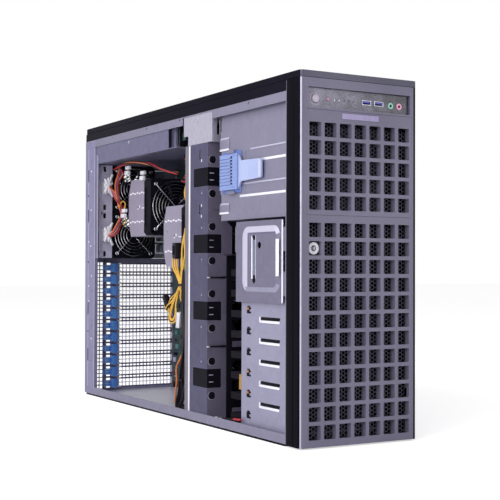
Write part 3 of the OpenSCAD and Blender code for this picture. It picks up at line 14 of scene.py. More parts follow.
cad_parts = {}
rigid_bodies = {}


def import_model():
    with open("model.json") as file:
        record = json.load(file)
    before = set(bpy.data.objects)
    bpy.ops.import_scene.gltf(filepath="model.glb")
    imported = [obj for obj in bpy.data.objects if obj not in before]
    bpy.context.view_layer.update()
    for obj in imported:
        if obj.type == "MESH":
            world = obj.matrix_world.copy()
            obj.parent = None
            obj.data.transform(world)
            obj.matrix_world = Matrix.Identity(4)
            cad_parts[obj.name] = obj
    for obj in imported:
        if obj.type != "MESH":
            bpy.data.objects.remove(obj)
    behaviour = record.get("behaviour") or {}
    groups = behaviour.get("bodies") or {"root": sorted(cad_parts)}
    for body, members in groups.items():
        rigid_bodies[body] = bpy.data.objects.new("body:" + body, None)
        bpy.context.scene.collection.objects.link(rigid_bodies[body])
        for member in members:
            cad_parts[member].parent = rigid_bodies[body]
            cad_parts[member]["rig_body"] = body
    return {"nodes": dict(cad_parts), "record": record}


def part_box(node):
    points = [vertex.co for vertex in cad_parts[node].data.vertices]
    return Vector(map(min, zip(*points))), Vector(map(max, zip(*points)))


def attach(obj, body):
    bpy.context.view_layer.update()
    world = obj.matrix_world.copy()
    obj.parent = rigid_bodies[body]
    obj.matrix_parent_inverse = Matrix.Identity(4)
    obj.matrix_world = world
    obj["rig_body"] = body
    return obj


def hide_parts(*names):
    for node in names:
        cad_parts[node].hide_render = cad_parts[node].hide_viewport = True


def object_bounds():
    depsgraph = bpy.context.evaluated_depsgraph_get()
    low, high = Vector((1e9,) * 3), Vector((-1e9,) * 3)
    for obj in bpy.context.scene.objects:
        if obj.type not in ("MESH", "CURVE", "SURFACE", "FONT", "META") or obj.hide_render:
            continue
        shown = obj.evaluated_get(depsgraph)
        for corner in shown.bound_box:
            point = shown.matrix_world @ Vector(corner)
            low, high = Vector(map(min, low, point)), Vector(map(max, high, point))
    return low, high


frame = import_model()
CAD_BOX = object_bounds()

log = logging.getLogger("tower_server")
MM = 0.001
SLOTS = {p["node"]: p["material_slot"] for p in frame["record"]["subparts"]}
Point = tuple[float, float, float]
ROUNDED_FROM = radians(40)
TURNED_STEPS = 40


def linear(rgb: tuple[int, int, int]) -> tuple[float, float, float, float]:
    """Turns a display colour of 0 to 255 into a linear colour with alpha.

    Args:
        rgb: Red, green and blue from 0 to 255.

    Returns:
        The linear colour.
    """
    parts = [c / 255 for c in rgb]
    parts = [c / 12.92 if c <= 0.04045 else ((c + 0.055) / 1.055) ** 2.4 for c in parts]
    return (*parts, 1.0)


class Nodes:
    """A node tree that is filled one node at a time."""

    def __init__(self, tree: bpy.types.NodeTree) -> None:
        """Takes the tree that the nodes go into."""
        self.tree = tree

    def add(self, kind: str, inputs: dict | None = None, **props: object) -> bpy.types.Node:
        """Adds a node.

        Args:
            kind: The node's type name without its ShaderNode prefix, or the full name.
            inputs: Values or sockets for its inputs, by name or number.
            **props: Settings of the node itself.

        Returns:
            The node.
        """
        full = kind if kind.startswith(("Node", "Shader")) else "ShaderNode" + kind
        node = self.tree.nodes.new(full)
        for name, value in props.items():
            setattr(node, name, value)
        for key, value in (inputs or {}).items():
            socket = node.inputs[key]
            if isinstance(value, bpy.types.NodeSocket):
                self.tree.links.new(value, socket)
            else:
                socket.default_value = value
        return node

    def math(self, operation: str, a: object, b: object = 0.0, clamp: bool = False) -> bpy.types.NodeSocket:
        """Adds a sum on two values and returns its result."""
        return self.add("Math", {0: a, 1: b}, operation=operation, use_clamp=clamp).outputs[0]

    def blend(self, factor: object, a: object, b: object) -> bpy.types.NodeSocket:
        """Mixes two colours and returns the mixed colour."""
        return self.add("Mix", {0: factor, 6: a, 7: b}, data_type="RGBA").outputs[2]

    def weigh(self, a: object, share: float, b: object) -> bpy.types.NodeSocket:
        """Adds a share of one value to the rest of another and returns the sum."""
        return self.math("ADD", self.math("MULTIPLY", a, share), self.math("MULTIPLY", b, 1 - share))

    def remap(self, value: object, low: float, high: float, to_low: float,
              to_high: float) -> bpy.types.NodeSocket:
        """Maps a value from one range to another, clamped, and returns it."""
        values = {"Value": value, "From Min": low, "From Max": high, "To Min": to_low, "To Max": to_high}
        return self.add("MapRange", values).outputs[0]


def make_group(name: str, inputs: dict[str, float | None], outputs: Sequence[str],
               fill: Callable[[Nodes, bpy.types.Node, bpy.types.Node], None]) -> bpy.types.NodeTree:
    """Makes a shader node group once.

    Args:
        name: The group's name.
        inputs: Input names with their default, or None for a vector.
        outputs: Output names, all plain values.
        fill: Fills the group, given its nodes, its input node and its output node.

    Returns:
        The group.
    """
    if name in bpy.data.node_groups:
        return bpy.data.node_groups[name]
    tree = bpy.data.node_groups.new(name, "ShaderNodeTree")
    for key, default in inputs.items():
        kind = "NodeSocketVector" if default is None else "NodeSocketFloat"
        socket = tree.interface.new_socket(key, in_out="INPUT", socket_type=kind)
        if default is not None:
            socket.default_value = default
    for key in outputs:
        tree.interface.new_socket(key, in_out="OUTPUT", socket_type="NodeSocketFloat")
    nodes = Nodes(tree)
    fill(nodes, nodes.add("NodeGroupInput"), nodes.add("NodeGroupOutput"))
    return tree


def grain_group() -> bpy.types.NodeTree:
    """Fine moulded or brushed grain: a tone of 0 to 1 and a height. Stretch draws it out along Z."""

    def fill(n: Nodes, given: bpy.types.Node, out: bpy.types.Node) -> None:
        """Builds the grain from two noises."""
        stretch = n.add("CombineXYZ", {0: 1.0, 1: 1.0, 2: given.outputs["Stretch"]})
        place = n.add("VectorMath", {0: given.outputs["Place"], 1: stretch.outputs[0]}, operation="MULTIPLY")
        fine = n.add("TexNoise", {"Vector": place.outputs[0], "Scale": given.outputs["Scale"], "Detail": 2.0})
        wide = n.add("TexNoise", {"Vector": given.outputs["Place"], "Scale": 9.0, "Detail": 3.0})
        tone = n.weigh(fine.outputs[0], 0.55, wide.outputs[0])
        n.tree.links.new(n.remap(tone, 0.32, 0.68, 0.0, 1.0), out.inputs["Tone"])
        n.tree.links.new(fine.outputs[0], out.inputs["Height"])

    inputs = {"Place": None, "Scale": 1500.0, "Stretch": 1.0}
    return make_group("fine_grain", inputs, ["Tone", "Height"], fill)


def spangle_group() -> bpy.types.NodeTree:
    """The crystal flowers of galvanised steel: a tone of 0 to 1 that changes from cell to cell."""

    def fill(n: Nodes, given: bpy.types.Node, out: bpy.types.Node) -> None:
        """Builds the cells, with a little noise in each."""
        bend = n.add("TexNoise", {"Vector": given.outputs["Place"], "Scale": 60.0, "Detail": 2.0})
        shift = n.add("VectorMath", {0: bend.outputs["Color"], "Scale": 0.012}, operation="SCALE")
        place = n.add("VectorMath", {0: given.outputs["Place"], 1: shift.outputs[0]}, operation="ADD")
        cells = n.add("TexVoronoi", {"Vector": place.outputs[0], "Scale": given.outputs["Scale"]})
        split = n.add("SeparateColor", {0: cells.outputs["Color"]})
        wide = n.add("TexNoise", {"Vector": given.outputs["Place"], "Scale": 5.0, "Detail": 2.0})
        tone = n.weigh(split.outputs[0], 0.35, wide.outputs[0])
        n.tree.links.new(tone, out.inputs["Tone"])

    return make_group("zinc_spangle", {"Place": None, "Scale": 120.0}, ["Tone"], fill)


def edge_group() -> bpy.types.NodeTree:
    """Bare or polished edges: a mask that is 1 where the surface turns sharply."""

    def fill(n: Nodes, given: bpy.types.Node, out: bpy.types.Node) -> None:
        """Compares the rounded normal with the true one."""
        soft = n.add("Bevel", {"Radius": given.outputs["Radius"]}, samples=3)
        true = n.add("NewGeometry")
        dot = n.add("VectorMath", {0: soft.outputs[0], 1: true.outputs["Normal"]}, operation="DOT_PRODUCT")
        turn = n.math("SUBTRACT", 1.0, dot.outputs["Value"], clamp=True)
        n.tree.links.new(n.remap(turn, 0.02, 0.25, 0.0, 1.0), out.inputs["Mask"])

    return make_group("bare_edges", {"Radius": 0.0006}, ["Mask"], fill)


def dust_group() -> bpy.types.NodeTree:
    """Dust on faces that look up: a mask of 0 to 1."""

    def fill(n: Nodes, given: bpy.types.Node, out: bpy.types.Node) -> None:
        """Joins a patchy noise with how far a face looks up."""
        up = n.add("SeparateXYZ", {0: n.add("NewGeometry").outputs["Normal"]})
        patch = n.add("TexNoise", {"Vector": given.outputs["Place"], "Scale": 45.0, "Detail": 5.0})
        lying = n.remap(up.outputs["Z"], 0.5, 1.0, 0.0, 1.0)
        mask = n.math("MULTIPLY", lying, n.remap(patch.outputs[0], 0.35, 0.7, 0.2, 1.0))
        n.tree.links.new(n.math("MULTIPLY", mask, given.outputs["Amount"]), out.inputs["Mask"])

    return make_group("settled_dust", {"Place": None, "Amount": 0.2}, ["Mask"], fill)


MADE: dict["Finish", bpy.types.Material] = {}
DUST = (150, 147, 158)
BRUSH_STRETCH = 0.06
GLOSS_SPREAD = 0.07


class Texture(Enum):
    """How a finish's tone runs over the surface."""

    GRAIN = "fine moulded grain"
    BRUSHED = "grain drawn out up and down"
    SPANGLE = "galvanised flowers"
    SPECKLE = "clear speckled window over a dark ground"
    TRACES = "board tracks and pads"


@dataclass(frozen=True)
class Finish:
    """A finish: its colours, gloss and the pattern that they follow."""

    name: str
    light: tuple[int, int, int]
    dark: tuple[int, int, int]
    roughness: float = 0.45
    metallic: float = 0.0
    texture: Texture = Texture.GRAIN
    scale: float = 1500.0
    bump: float = 0.1
    edge: tuple[int, int, int] | None = None
    edge_share: float = 0.5
    dust: float = 0.0
    coat: float = 0.0
    glow: float = 0.0
    specular: float = 0.5

    def material(self) -> bpy.types.Material:
        """Makes the finish's material, or returns it if it is there.

        Returns:
            The material.
        """
        if self in MADE:
            return MADE[self]
        made = MADE[self] = bpy.data.materials.new(self.name + "_finish")
        made.use_nodes = True
        made.node_tree.nodes.clear()
        n = Nodes(made.node_tree)
        place = n.add("TexCoord").outputs["Object"]
        tone, height = self._pattern(n, place)
        colour = n.blend(tone, linear(self.dark), linear(self.light))
        if self.edge:
            edges = n.add("Group", node_tree=edge_group())
            share = n.math("MULTIPLY", edges.outputs["Mask"], self.edge_share)
            colour = n.blend(share, colour, linear(self.edge))
        if self.dust:
            dust = n.add("Group", {"Place": place, "Amount": self.dust}, node_tree=dust_group())
            colour = n.blend(dust.outputs["Mask"], colour, linear(DUST))
        shader = n.add("BsdfPrincipled", {"Base Color": colour, "Metallic": self.metallic,
                                         "Coat Weight": self.coat, "Specular IOR Level": self.specular})
        low, high = max(self.roughness - GLOSS_SPREAD, 0.05), min(self.roughness + GLOSS_SPREAD, 1.0)
        n.tree.links.new(n.remap(tone, 0.0, 1.0, high, low), shader.inputs["Roughness"])
        if self.glow:
            shader.inputs["Emission Color"].default_value = linear(self.light)
            shader.inputs["Emission Strength"].default_value = self.glow
        if height is not None:
            bump = n.add("Bump", {"Strength": self.bump, "Distance": 0.0004, "Height": height})
            n.tree.links.new(bump.outputs[0], shader.inputs["Normal"])
        out = n.add("OutputMaterial", {"Surface": shader.outputs[0]})
        out.target = "ALL"
        return made

    def _pattern(self, n: Nodes, place: bpy.types.NodeSocket) -> tuple:
        """Adds the pattern that the finish follows.

        Args:
            n: The material's nodes.
            place: Where on the piece the surface is.

        Returns:
            The tone and the height, which may be None.
        """
        if self.texture is Texture.SPANGLE:
            group = n.add("Group", {"Place": place, "Scale": self.scale}, node_tree=spangle_group())
            return group.outputs["Tone"], None
        if self.texture is Texture.SPECKLE:
            return self._speckle(n, place)
        if self.texture is Texture.TRACES:
            return self._traces(n, place)
        stretch = BRUSH_STRETCH if self.texture is Texture.BRUSHED else 1.0
        values = {"Place": place, "Scale": self.scale, "Stretch": stretch}
        group = n.add("Group", values, node_tree=grain_group())
        return group.outputs["Tone"], group.outputs["Height"]

    def _speckle(self, n: Nodes, place: bpy.types.NodeSocket) -> tuple:
        """Adds pale specks that thin out from the panel's left end to its right end.

        Args:
            n: The material's nodes.
            place: Where on the piece the surface is.

        Returns:
            The tone and the height.
        """
        axes = n.add("SeparateXYZ", {0: place})
        specks = n.add("TexNoise", {"Vector": place, "Scale": self.scale, "Detail": 3.0, "Roughness": 0.7})
        clouds = n.add("TexNoise", {"Vector": place, "Scale": 70.0, "Detail": 2.0})
        left = n.remap(axes.outputs["X"], -0.079, 0.06, 0.24, 0.0)
        dense = n.math("ADD", specks.outputs[0], left)
        raw = n.math("ADD", dense, n.math("MULTIPLY", clouds.outputs[0], 0.3))
        return n.remap(raw, 0.62, 0.95, 0.0, 1.0), specks.outputs[0]

    def _traces(self, n: Nodes, place: bpy.types.NodeSocket) -> tuple:
        """Adds board tracks: cells drawn as thin lines, with a few pale pads.

        Args:
            n: The material's nodes.
            place: Where on the piece the surface is.

        Returns:
            The tone and the height.
        """
        lines = n.add("TexVoronoi", {"Vector": place, "Scale": self.scale}, distance="CHEBYCHEV")
        pads = n.add("TexVoronoi", {"Vector": place, "Scale": 130.0}, distance="CHEBYCHEV")
        tone = n.remap(lines.outputs["Distance"], 0.36, 0.5, 0.0, 0.5)
        pad = n.remap(pads.outputs["Distance"], 0.1, 0.16, 0.5, 0.0)
        return n.math("ADD", tone, pad, clamp=True), tone


STEEL = Finish("galvanised_steel", (142, 139, 163), (130, 127, 150), 0.42, 0.3, Texture.SPANGLE, 120.0,
               edge=(214, 212, 232))
# Painted reflection: the near-white of the chassis floor stands in for the bright rear openings mirrored in
# it.
FLOOR_STEEL_REFLECTED = Finish("floor_steel_painted_reflection", (240, 239, 248), (222, 220, 234), 0.35, 0.3, Texture.SPANGLE, 120.0)
# The web and the flanges are one sheet of steel, given two tones by the way their faces look; the flanges'
# brownish tone is a painted reflection.
WALL_STEEL = Finish("fan_wall_steel", (86, 82, 114), (70, 67, 95), 0.45, 0.2, Texture.SPANGLE, 90.0,
                    edge=(196, 194, 216))
WALL_FLANGE = Finish("fan_wall_flange", (124, 117, 140), (104, 97, 120), 0.5, 0.2, Texture.SPANGLE, 90.0)
# Painted sheen: the rolled hem along the web's rear edge is painted lighter where it catches the light.
HEM_SHEEN = Finish("rolled_hem_painted_sheen", (134, 128, 140), (118, 112, 124), 0.4, 0.3, Texture.BRUSHED, 600.0)
# Painted highlight: near-white steel laid on bends, rims, rivets, lips, tabs and edges where the lamps catch
# them.
PAINTED_HIGHLIGHT = Finish("painted_highlight_steel", (253, 252, 255), (238, 236, 250), 0.35, 0.2, Texture.BRUSHED, 600.0)
REAR_STEEL = Finish("rear_panel_steel", (150, 147, 176), (126, 123, 152), 0.45, 0.3, Texture.SPANGLE, 120.0)
REAR_FLANGE = Finish("rear_flange_steel", (146, 142, 176), (124, 120, 154), 0.45, 0.2, Texture.SPANGLE, 100.0,
                     edge=(196, 194, 214))
CAGE_STEEL = Finish("supply_cage_steel", (120, 118, 148), (102, 100, 128), 0.45, 0.3, Texture.SPANGLE, 110.0,
                    edge=(190, 190, 208), edge_share=0.4)
PLATE_STEEL = Finish("drawn_plate_steel", (126, 122, 147), (113, 109, 133), 0.42, 0.3, Texture.SPANGLE, 110.0,
                     edge=(214, 212, 232), edge_share=0.6)
# Pale steel: the colour of some pale real parts, and a painted highlight on rolled lines, rivets, rims and
# slope edges.
PALE_STEEL_AND_HIGHLIGHT = Finish("pale_steel_and_painted_highlight", (200, 197, 220), (182, 179, 204), 0.4, 0.2, Texture.SPANGLE, 120.0)
# Painted light: the near-white of the slot covers and their finger tabs stands in for light from behind
# wrapping round the perforations.
SLOT_STEEL_LIT = Finish("slot_cover_steel_painted_light", (243, 241, 255), (226, 223, 246), 0.4, 0.0, Texture.BRUSHED, 900.0)
PINK_STEEL = Finish("copper_tinted_steel", (214, 184, 184), (190, 160, 162), 0.4, 0.2)
DRIVE_STEEL = Finish("drive_cage_steel", (158, 156, 182), (145, 143, 168), 0.42, 0.25, Texture.SPANGLE, 110.0,
                     edge=(214, 212, 232))
BRACKET_STEEL = Finish("fan_bracket_steel", (206, 202, 228), (188, 184, 210), 0.45, 0.1, Texture.SPANGLE,
                       110.0)
PLATE_LINE = Finish("plate_shadow", (112, 108, 138), (102, 98, 126), 0.45, 0.2)
# Painted light: slopes of the drawn cover plate that look up or to the rear.
PLATE_SLOPE_LIT = Finish("plate_slope_painted_light", (206, 202, 224), (196, 192, 216), 0.4, 0.2, Texture.GRAIN, 500.0)
SLOT_DEPTH = Finish("slot_depth", (118, 124, 146), (104, 110, 132), 0.5)
LIP_STEEL = Finish("rear_lip_steel", (128, 127, 154), (112, 111, 138), 0.45, 0.2, Texture.SPANGLE, 90.0)
# Painted shade: dark strips for the covers' returned edges, which lie in shade.
SEAM_SHADE = Finish("slot_seam_painted_shade", (98, 94, 126), (78, 74, 106), 0.5, 0.2, Texture.GRAIN, 900.0)
BRIGHT = Finish("bright_steel", (212, 210, 226), (176, 173, 196), 0.3, 0.5, Texture.BRUSHED, 900.0, 0.15,
                edge=(240, 240, 250))
CHROME = Finish("wire_chrome", (250, 249, 254), (226, 224, 236), 0.16, 1.0, Texture.GRAIN, 400.0, 0.03)
BLACK = Finish("black_plastic", (27, 25, 34), (15, 13, 21), 0.5, scale=2200.0, bump=0.2,
               edge=(66, 64, 78), edge_share=0.35, specular=0.06)
BLACK_STEEL = Finish("black_coated_steel", (20, 18, 26), (12, 11, 17), 0.6, specular=0.1)
COVER = Finish("cover_black", (22, 20, 33), (14, 12, 22), 0.4, scale=3000.0,
               edge=(64, 62, 78), edge_share=0.3, dust=0.03, specular=0.05)
# Painted light: the top cover's forward faces are a lighter copy of its black, lit by the front lamps.
COVER_FRONT_LIT = Finish("cover_front_painted_light", (90, 88, 109), (74, 72, 92), 0.4, scale=1800.0,
                     edge=(130, 128, 148), edge_share=0.4)
# One plastic in three tones set by the way a face looks: the front grey is painted light from the front
# lamps, the near-black sides and the inner faces are painted shade.
BEZEL_FRONT = Finish("bezel_grey", (122, 118, 142), (103, 99, 121), 0.42, 0.1, Texture.GRAIN, 1300.0, 0.12,
                     edge=(168, 165, 186))
BEZEL_SIDE = Finish("bezel_side", (15, 14, 23), (9, 8, 15), 0.4, scale=2000.0, bump=0.12,
                    edge=(66, 64, 80), edge_share=0.2, specular=0.04)
# Painted light: window walls that look to the open side are a lighter copy of the inner plastic, lit by the
# lamps on that side.
BEZEL_WALL_LIT = Finish("window_wall_painted_light", (118, 115, 136), (98, 95, 116), 0.4, scale=1800.0)
BEZEL_INNER = Finish("bezel_inner", (58, 56, 72), (42, 40, 54), 0.5, scale=2000.0, bump=0.12, specular=0.3)
# Painted highlight: the pale satin on the door's rounded front-left corner stands in for a lamp's reflection
# along it.
BEZEL_CORNER_HIGHLIGHT = Finish("bezel_corner_painted_highlight", (196, 194, 210), (170, 168, 186), 0.35, 0.2, Texture.BRUSHED, 1200.0,
                      0.05)
MESH = Finish("mesh_black", (104, 101, 118), (84, 81, 97), 0.5, scale=900.0)
BADGE = Finish("badge_plate", (162, 152, 190), (142, 133, 172), 0.35, 0.2, Texture.BRUSHED, 1500.0, 0.08)
PANEL = Finish("panel_smoke", (144, 140, 162), (38, 36, 50), 0.25, 0.0, Texture.SPECKLE, 900.0, 0.1, coat=0.2)
BOARD = Finish("board_green", (76, 102, 100), (34, 56, 56), 0.5, 0.0, Texture.TRACES, 420.0, 0.2)
TEAL = Finish("board_teal", (96, 148, 146), (66, 112, 112), 0.5)
GOLD = Finish("gold_contact", (214, 166, 84), (184, 134, 60), 0.35, 0.5)
FIN = Finish("fin_aluminium", (190, 187, 202), (152, 149, 166), 0.35, 0.6, Texture.BRUSHED, 700.0, 0.1)
PLATE = Finish("cooler_plate", (158, 151, 172), (140, 133, 154), 0.4, 0.15, Texture.BRUSHED, 1400.0, 0.12,
               edge=(206, 202, 218))
CLIP = Finish("clip_blue", (122, 178, 250), (74, 132, 228), 0.35, scale=700.0, bump=0.15,
              edge=(140, 184, 240))
# Pale blue: a painted highlight on the clips' arms, and the pale mark on the coolers' plates.
CLIP_PALE_AND_HIGHLIGHT = Finish("pale_blue_and_painted_highlight", (214, 224, 248), (190, 204, 240), 0.35)
LATCH = Finish("latch_blue", (141, 159, 214), (126, 144, 198), 0.36, scale=1200.0,
               edge=(200, 210, 246))
TONGUE = Finish("latch_tongue", (180, 190, 228), (166, 178, 218), 0.36, scale=1200.0)
LATCH_DEEP = Finish("latch_deep_blue", (104, 132, 200), (80, 108, 180), 0.4, scale=1200.0)
LATCH_PIT_SHADE = Finish("latch_pit_painted_shade", (44, 62, 128), (30, 44, 104), 0.5)
WHITE = Finish("white_nylon", (236, 235, 242), (212, 210, 222), 0.35, scale=900.0, bump=0.08)
BUTTON = Finish("button_white", (196, 186, 206), (172, 162, 184), 0.3, scale=1200.0, bump=0.08)
KEY_WHITE = Finish("lock_white", (236, 234, 244), (214, 212, 224), 0.3, scale=1200.0, bump=0.08)
PINK = Finish("button_pink", (190, 146, 176), (164, 122, 152), 0.3, scale=1200.0, bump=0.08)
PORT = Finish("port_metal", (214, 212, 226), (184, 182, 198), 0.25, 0.8, Texture.GRAIN, 900.0, 0.05)
USB = Finish("usb_blue", (98, 106, 206), (70, 78, 176), 0.4)
GREEN_RING = Finish("jack_green_ring", (176, 224, 204), (128, 198, 176), 0.35)
GREEN_CORE = Finish("jack_green_core", (40, 120, 96), (24, 92, 72), 0.4)
PINK_RING = Finish("jack_pink_ring", (244, 178, 208), (232, 150, 190), 0.35)
PINK_CORE = Finish("jack_pink_core", (166, 34, 84), (140, 24, 66), 0.4)
LAMP = Finish("lamp_white", (255, 255, 255), (236, 236, 250), 0.3, glow=0.4)
YELLOW = Finish("lead_yellow", (242, 196, 84), (214, 158, 46), 0.36, scale=500.0, bump=0.05)
LIME = Finish("lead_lime", (214, 208, 96), (186, 180, 70), 0.38)
LEAD_BLACK = Finish("lead_black", (38, 34, 46), (24, 21, 30), 0.4, specular=0.35)
ORANGE = Finish("lead_orange", (226, 136, 72), (192, 100, 50), 0.38)
RED = Finish("lead_red", (206, 48, 66), (168, 30, 48), 0.36)
LEAD_BLUE = Finish("lead_blue", (66, 72, 150), (44, 50, 118), 0.38)
COPPER = Finish("copper_clip", (222, 160, 98), (184, 120, 62), 0.3, 0.7)
DARK_DRIVE = Finish("drive_grey", (74, 72, 84), (52, 50, 62), 0.45, 0.3)
SUPPLY_RED = Finish("release_red", (160, 44, 50), (124, 30, 38), 0.4)


class Shape:
    """A mesh in the making, in millimetres, with a finish on each face."""

    def __init__(self) -> None:
        """Starts an empty mesh."""
        self.bm = bmesh.new()
        self.finishes: list[Finish] = []

    def slot(self, finish: Finish) -> int:
        """Returns the number of the finish's material slot, adding it if it is new."""
        if finish not in self.finishes:
            self.finishes.append(finish)
        return self.finishes.index(finish)

    def _paint(self, verts: Iterable, finish: Finish, soften: float) -> None:
        """Gives new faces their finish and rounds their sharp edges.

        Args:
            verts: The new vertices.
            finish: Their finish.
            soften: How wide the rounding is, or 0 for none.
        """
        verts = list(verts)
        faces = {f for v in verts for f in v.link_faces}
        index = self.slot(finish)
        for face in faces:
            face.material_index = index
            face.smooth = True
        if soften:
            edges = [e for e in {e for f in faces for e in f.edges}
                     if len(e.link_faces) == 2 and e.calc_face_angle(0) > ROUNDED_FROM]
            bmesh.ops.bevel(self.bm, geom=edges, offset=soften, offset_type="OFFSET", segments=2,
                            profile=0.5, affect="EDGES", clamp_overlap=True, material=-1)

    @staticmethod
    def _planes(y: Iterable[float], z: Iterable[float]) -> list[tuple[Point, Point]]:
        """Returns the place and the direction of planes across Y, then of planes across Z."""
        return [((0, at, 0), (0, 1, 0)) for at in y] + [((0, 0, at), (0, 0, 1)) for at in z]

    def cut(self, y: Iterable[float] = (), z: Iterable[float] = ()) -> None:
        """Cuts every face along straight lines, so that a finish can change there.

        Args:
            y: Places of the upright lines.
            z: Heights of the level lines.
        """
        for place, way in self._planes(y, z):
            whole = [*self.bm.verts, *self.bm.edges, *self.bm.faces]
            bmesh.ops.bisect_plane(self.bm, geom=whole, plane_co=place, plane_no=way)

    def patch(self, x: float, y: tuple[float, float], z: tuple[float, float], finish: Finish) -> None:
        """Gives a rectangle of a sheet that faces -X a finish of its own, such as a rivet or a rolled line.

        Args:
            x: Where the sheet's face lies.
            y: Its ends along the sheet.
            z: Its lower and upper ends.
            finish: The finish.
        """
        skin = []
        for face in self.bm.faces:
            ys, zs = [v.co.y for v in face.verts], [v.co.z for v in face.verts]
            near = min(ys) < y[1] and max(ys) > y[0] and min(zs) < z[1] and max(zs) > z[0]
            if near and face.normal.x < -0.99 and abs(face.verts[0].co.x - x) < 0.1:
                skin.append(face)
        for place, way in self._planes(y, z):
            edges, points = {e for f in skin for e in f.edges}, {v for f in skin for v in f.verts}
            cut = bmesh.ops.bisect_plane(self.bm, geom=[*points, *edges, *skin], plane_co=place, plane_no=way)
            skin = [part for part in cut["geom"] if isinstance(part, bmesh.types.BMFace)]
        index = self.slot(finish)
        for face in skin:
            middle = face.calc_center_median()
            if y[0] < middle.y < y[1] and z[0] < middle.z < z[1]:
                face.material_index = index

    def box(self, low: Point, high: Point, finish: Finish, soften: float = 0.3) -> None:
        """Adds a block with soft edges.

        Args:
            low: Its lowest corner.
            high: Its highest corner.
            finish: Its finish.
            soften: How wide its edges are rounded.
        """
        low, high = Vector(low), Vector(high)
        place = Matrix.Translation((low + high) / 2) @ Matrix.Diagonal((*(high - low), 1.0))
        self._paint(bmesh.ops.create_cube(self.bm, size=1.0, matrix=place)["verts"], finish, soften)

    def rod(self, start: Point, end: Point, radius: float, finish: Finish, tip: float | None = None,
            sides: int = 20, soften: float = 0.2) -> None:
        """Adds a round bar or cone between two points.

        Args:
            start: Middle of its first end.
            end: Middle of its other end.
            radius: Its radius at the start.
            finish: Its finish.
            tip: Its radius at the end, if it differs.
            sides: How many sides it has.
            soften: How wide its rims are rounded.
        """
        start, end = Vector(start), Vector(end)
        along = end - start
        turn = Vector((0, 0, 1)).rotation_difference(along).to_matrix().to_4x4()
        place = Matrix.Translation((start + end) / 2) @ turn
        made = bmesh.ops.create_cone(self.bm, cap_ends=True, segments=sides, radius1=radius,
                                     radius2=radius if tip is None else tip, depth=along.length, matrix=place)
        self._paint(made["verts"], finish, soften)

    def hoop(self, centre: Point, radius: float, wire: float, finish: Finish, steps: int = 48,
             sides: int = 8) -> None:
        """Adds a ring of round wire that faces -Y, spun from a circle.

        Args:
            centre: The ring's middle.
            radius: From the middle to the wire's middle.
            wire: The wire's radius.
            finish: Its finish.
            steps: Steps round the ring.
            sides: Sides of the wire.
        """
        old = set(self.bm.verts)
        place = Matrix.Translation(centre) @ Matrix.Translation((radius, 0, 0))
        circle = bmesh.ops.create_circle(self.bm, cap_ends=False, segments=sides, radius=wire, matrix=place)
        edges = list({e for v in circle["verts"] for e in v.link_edges})
        bmesh.ops.spin(self.bm, geom=circle["verts"] + edges, cent=centre, axis=(0, 1, 0), angle=tau,
                       steps=steps, use_merge=True)
        new = [v for v in self.bm.verts if v not in old]
        bmesh.ops.recalc_face_normals(self.bm, faces=list({f for v in new for f in v.link_faces}))
        self._paint(new, finish, 0)

    @staticmethod
    def _island(verts: Iterable) -> set:
        """Returns every vertex that is joined to the given ones."""
        seen, queue = set(), list(verts)
        while queue:
            vert = queue.pop()
            if vert in seen or not vert.is_valid:
                continue
            seen.add(vert)
            queue.extend(e.other_vert(vert) for e in vert.link_edges)
        return seen

    def turned(self, base: Point, profile: Sequence[tuple[float, float]], finish: Finish) -> None:
        """Adds a turned part that stands out towards -Y, made ring by ring.

        Args:
            base: Where its axis starts.
            profile: Radius and height of each ring, from the axis outwards and back to it.
            finish: Its finish.
        """
        turn = Vector((0, 0, 1)).rotation_difference(Vector((0, -1, 0))).to_matrix().to_4x4()
        place = Matrix.Translation(base) @ turn
        before, index = None, self.slot(finish)
        for radius, height in profile:
            ring = bmesh.ops.create_circle(self.bm, cap_ends=before is None, segments=TURNED_STEPS,
                                           radius=max(radius, 0.01),
                                           matrix=place @ Matrix.Translation((0, 0, height)))["verts"]
            edges = list({e for v in ring for e in v.link_edges})
            if before is None:
                new = {f for v in ring for f in v.link_faces}
            else:
                new = bmesh.ops.bridge_loops(self.bm, edges=before + edges)["faces"]
            for face in new:
                face.material_index = index
                face.smooth = True
            before = edges
        verts = {v for e in before for v in e.verts}
        faces = list({f for v in self._island(verts) for f in v.link_faces})
        bmesh.ops.recalc_face_normals(self.bm, faces=faces)

    def finish_piece(self, name: str, body: str, replaces: Sequence[str] = (), slot: str | None = None,
                     bevel: float = 0.0, sharp: float = 32.0) -> bpy.types.Object:
        """Turns the mesh into a piece that rides on a body.

        Args:
            name: The piece's name.
            body: The body that it moves with.
            replaces: CAD nodes that it stands for.
            slot: The record's material slot, if it isn't that of the first node replaced; not used.
            bevel: Width of a bevel modifier on its sharp edges, in millimetres.
            sharp: Angle in degrees past which an edge shades sharp.

        Returns:
            The piece.
        """
        bmesh.ops.scale(self.bm, vec=(MM, MM, MM), verts=self.bm.verts)
        mesh = bpy.data.meshes.new(name)
        self.bm.to_mesh(mesh)
        self.bm.free()
        for finish in self.finishes:
            mesh.materials.append(finish.material())
        return place_piece(name, mesh, body, replaces, bevel, sharp)


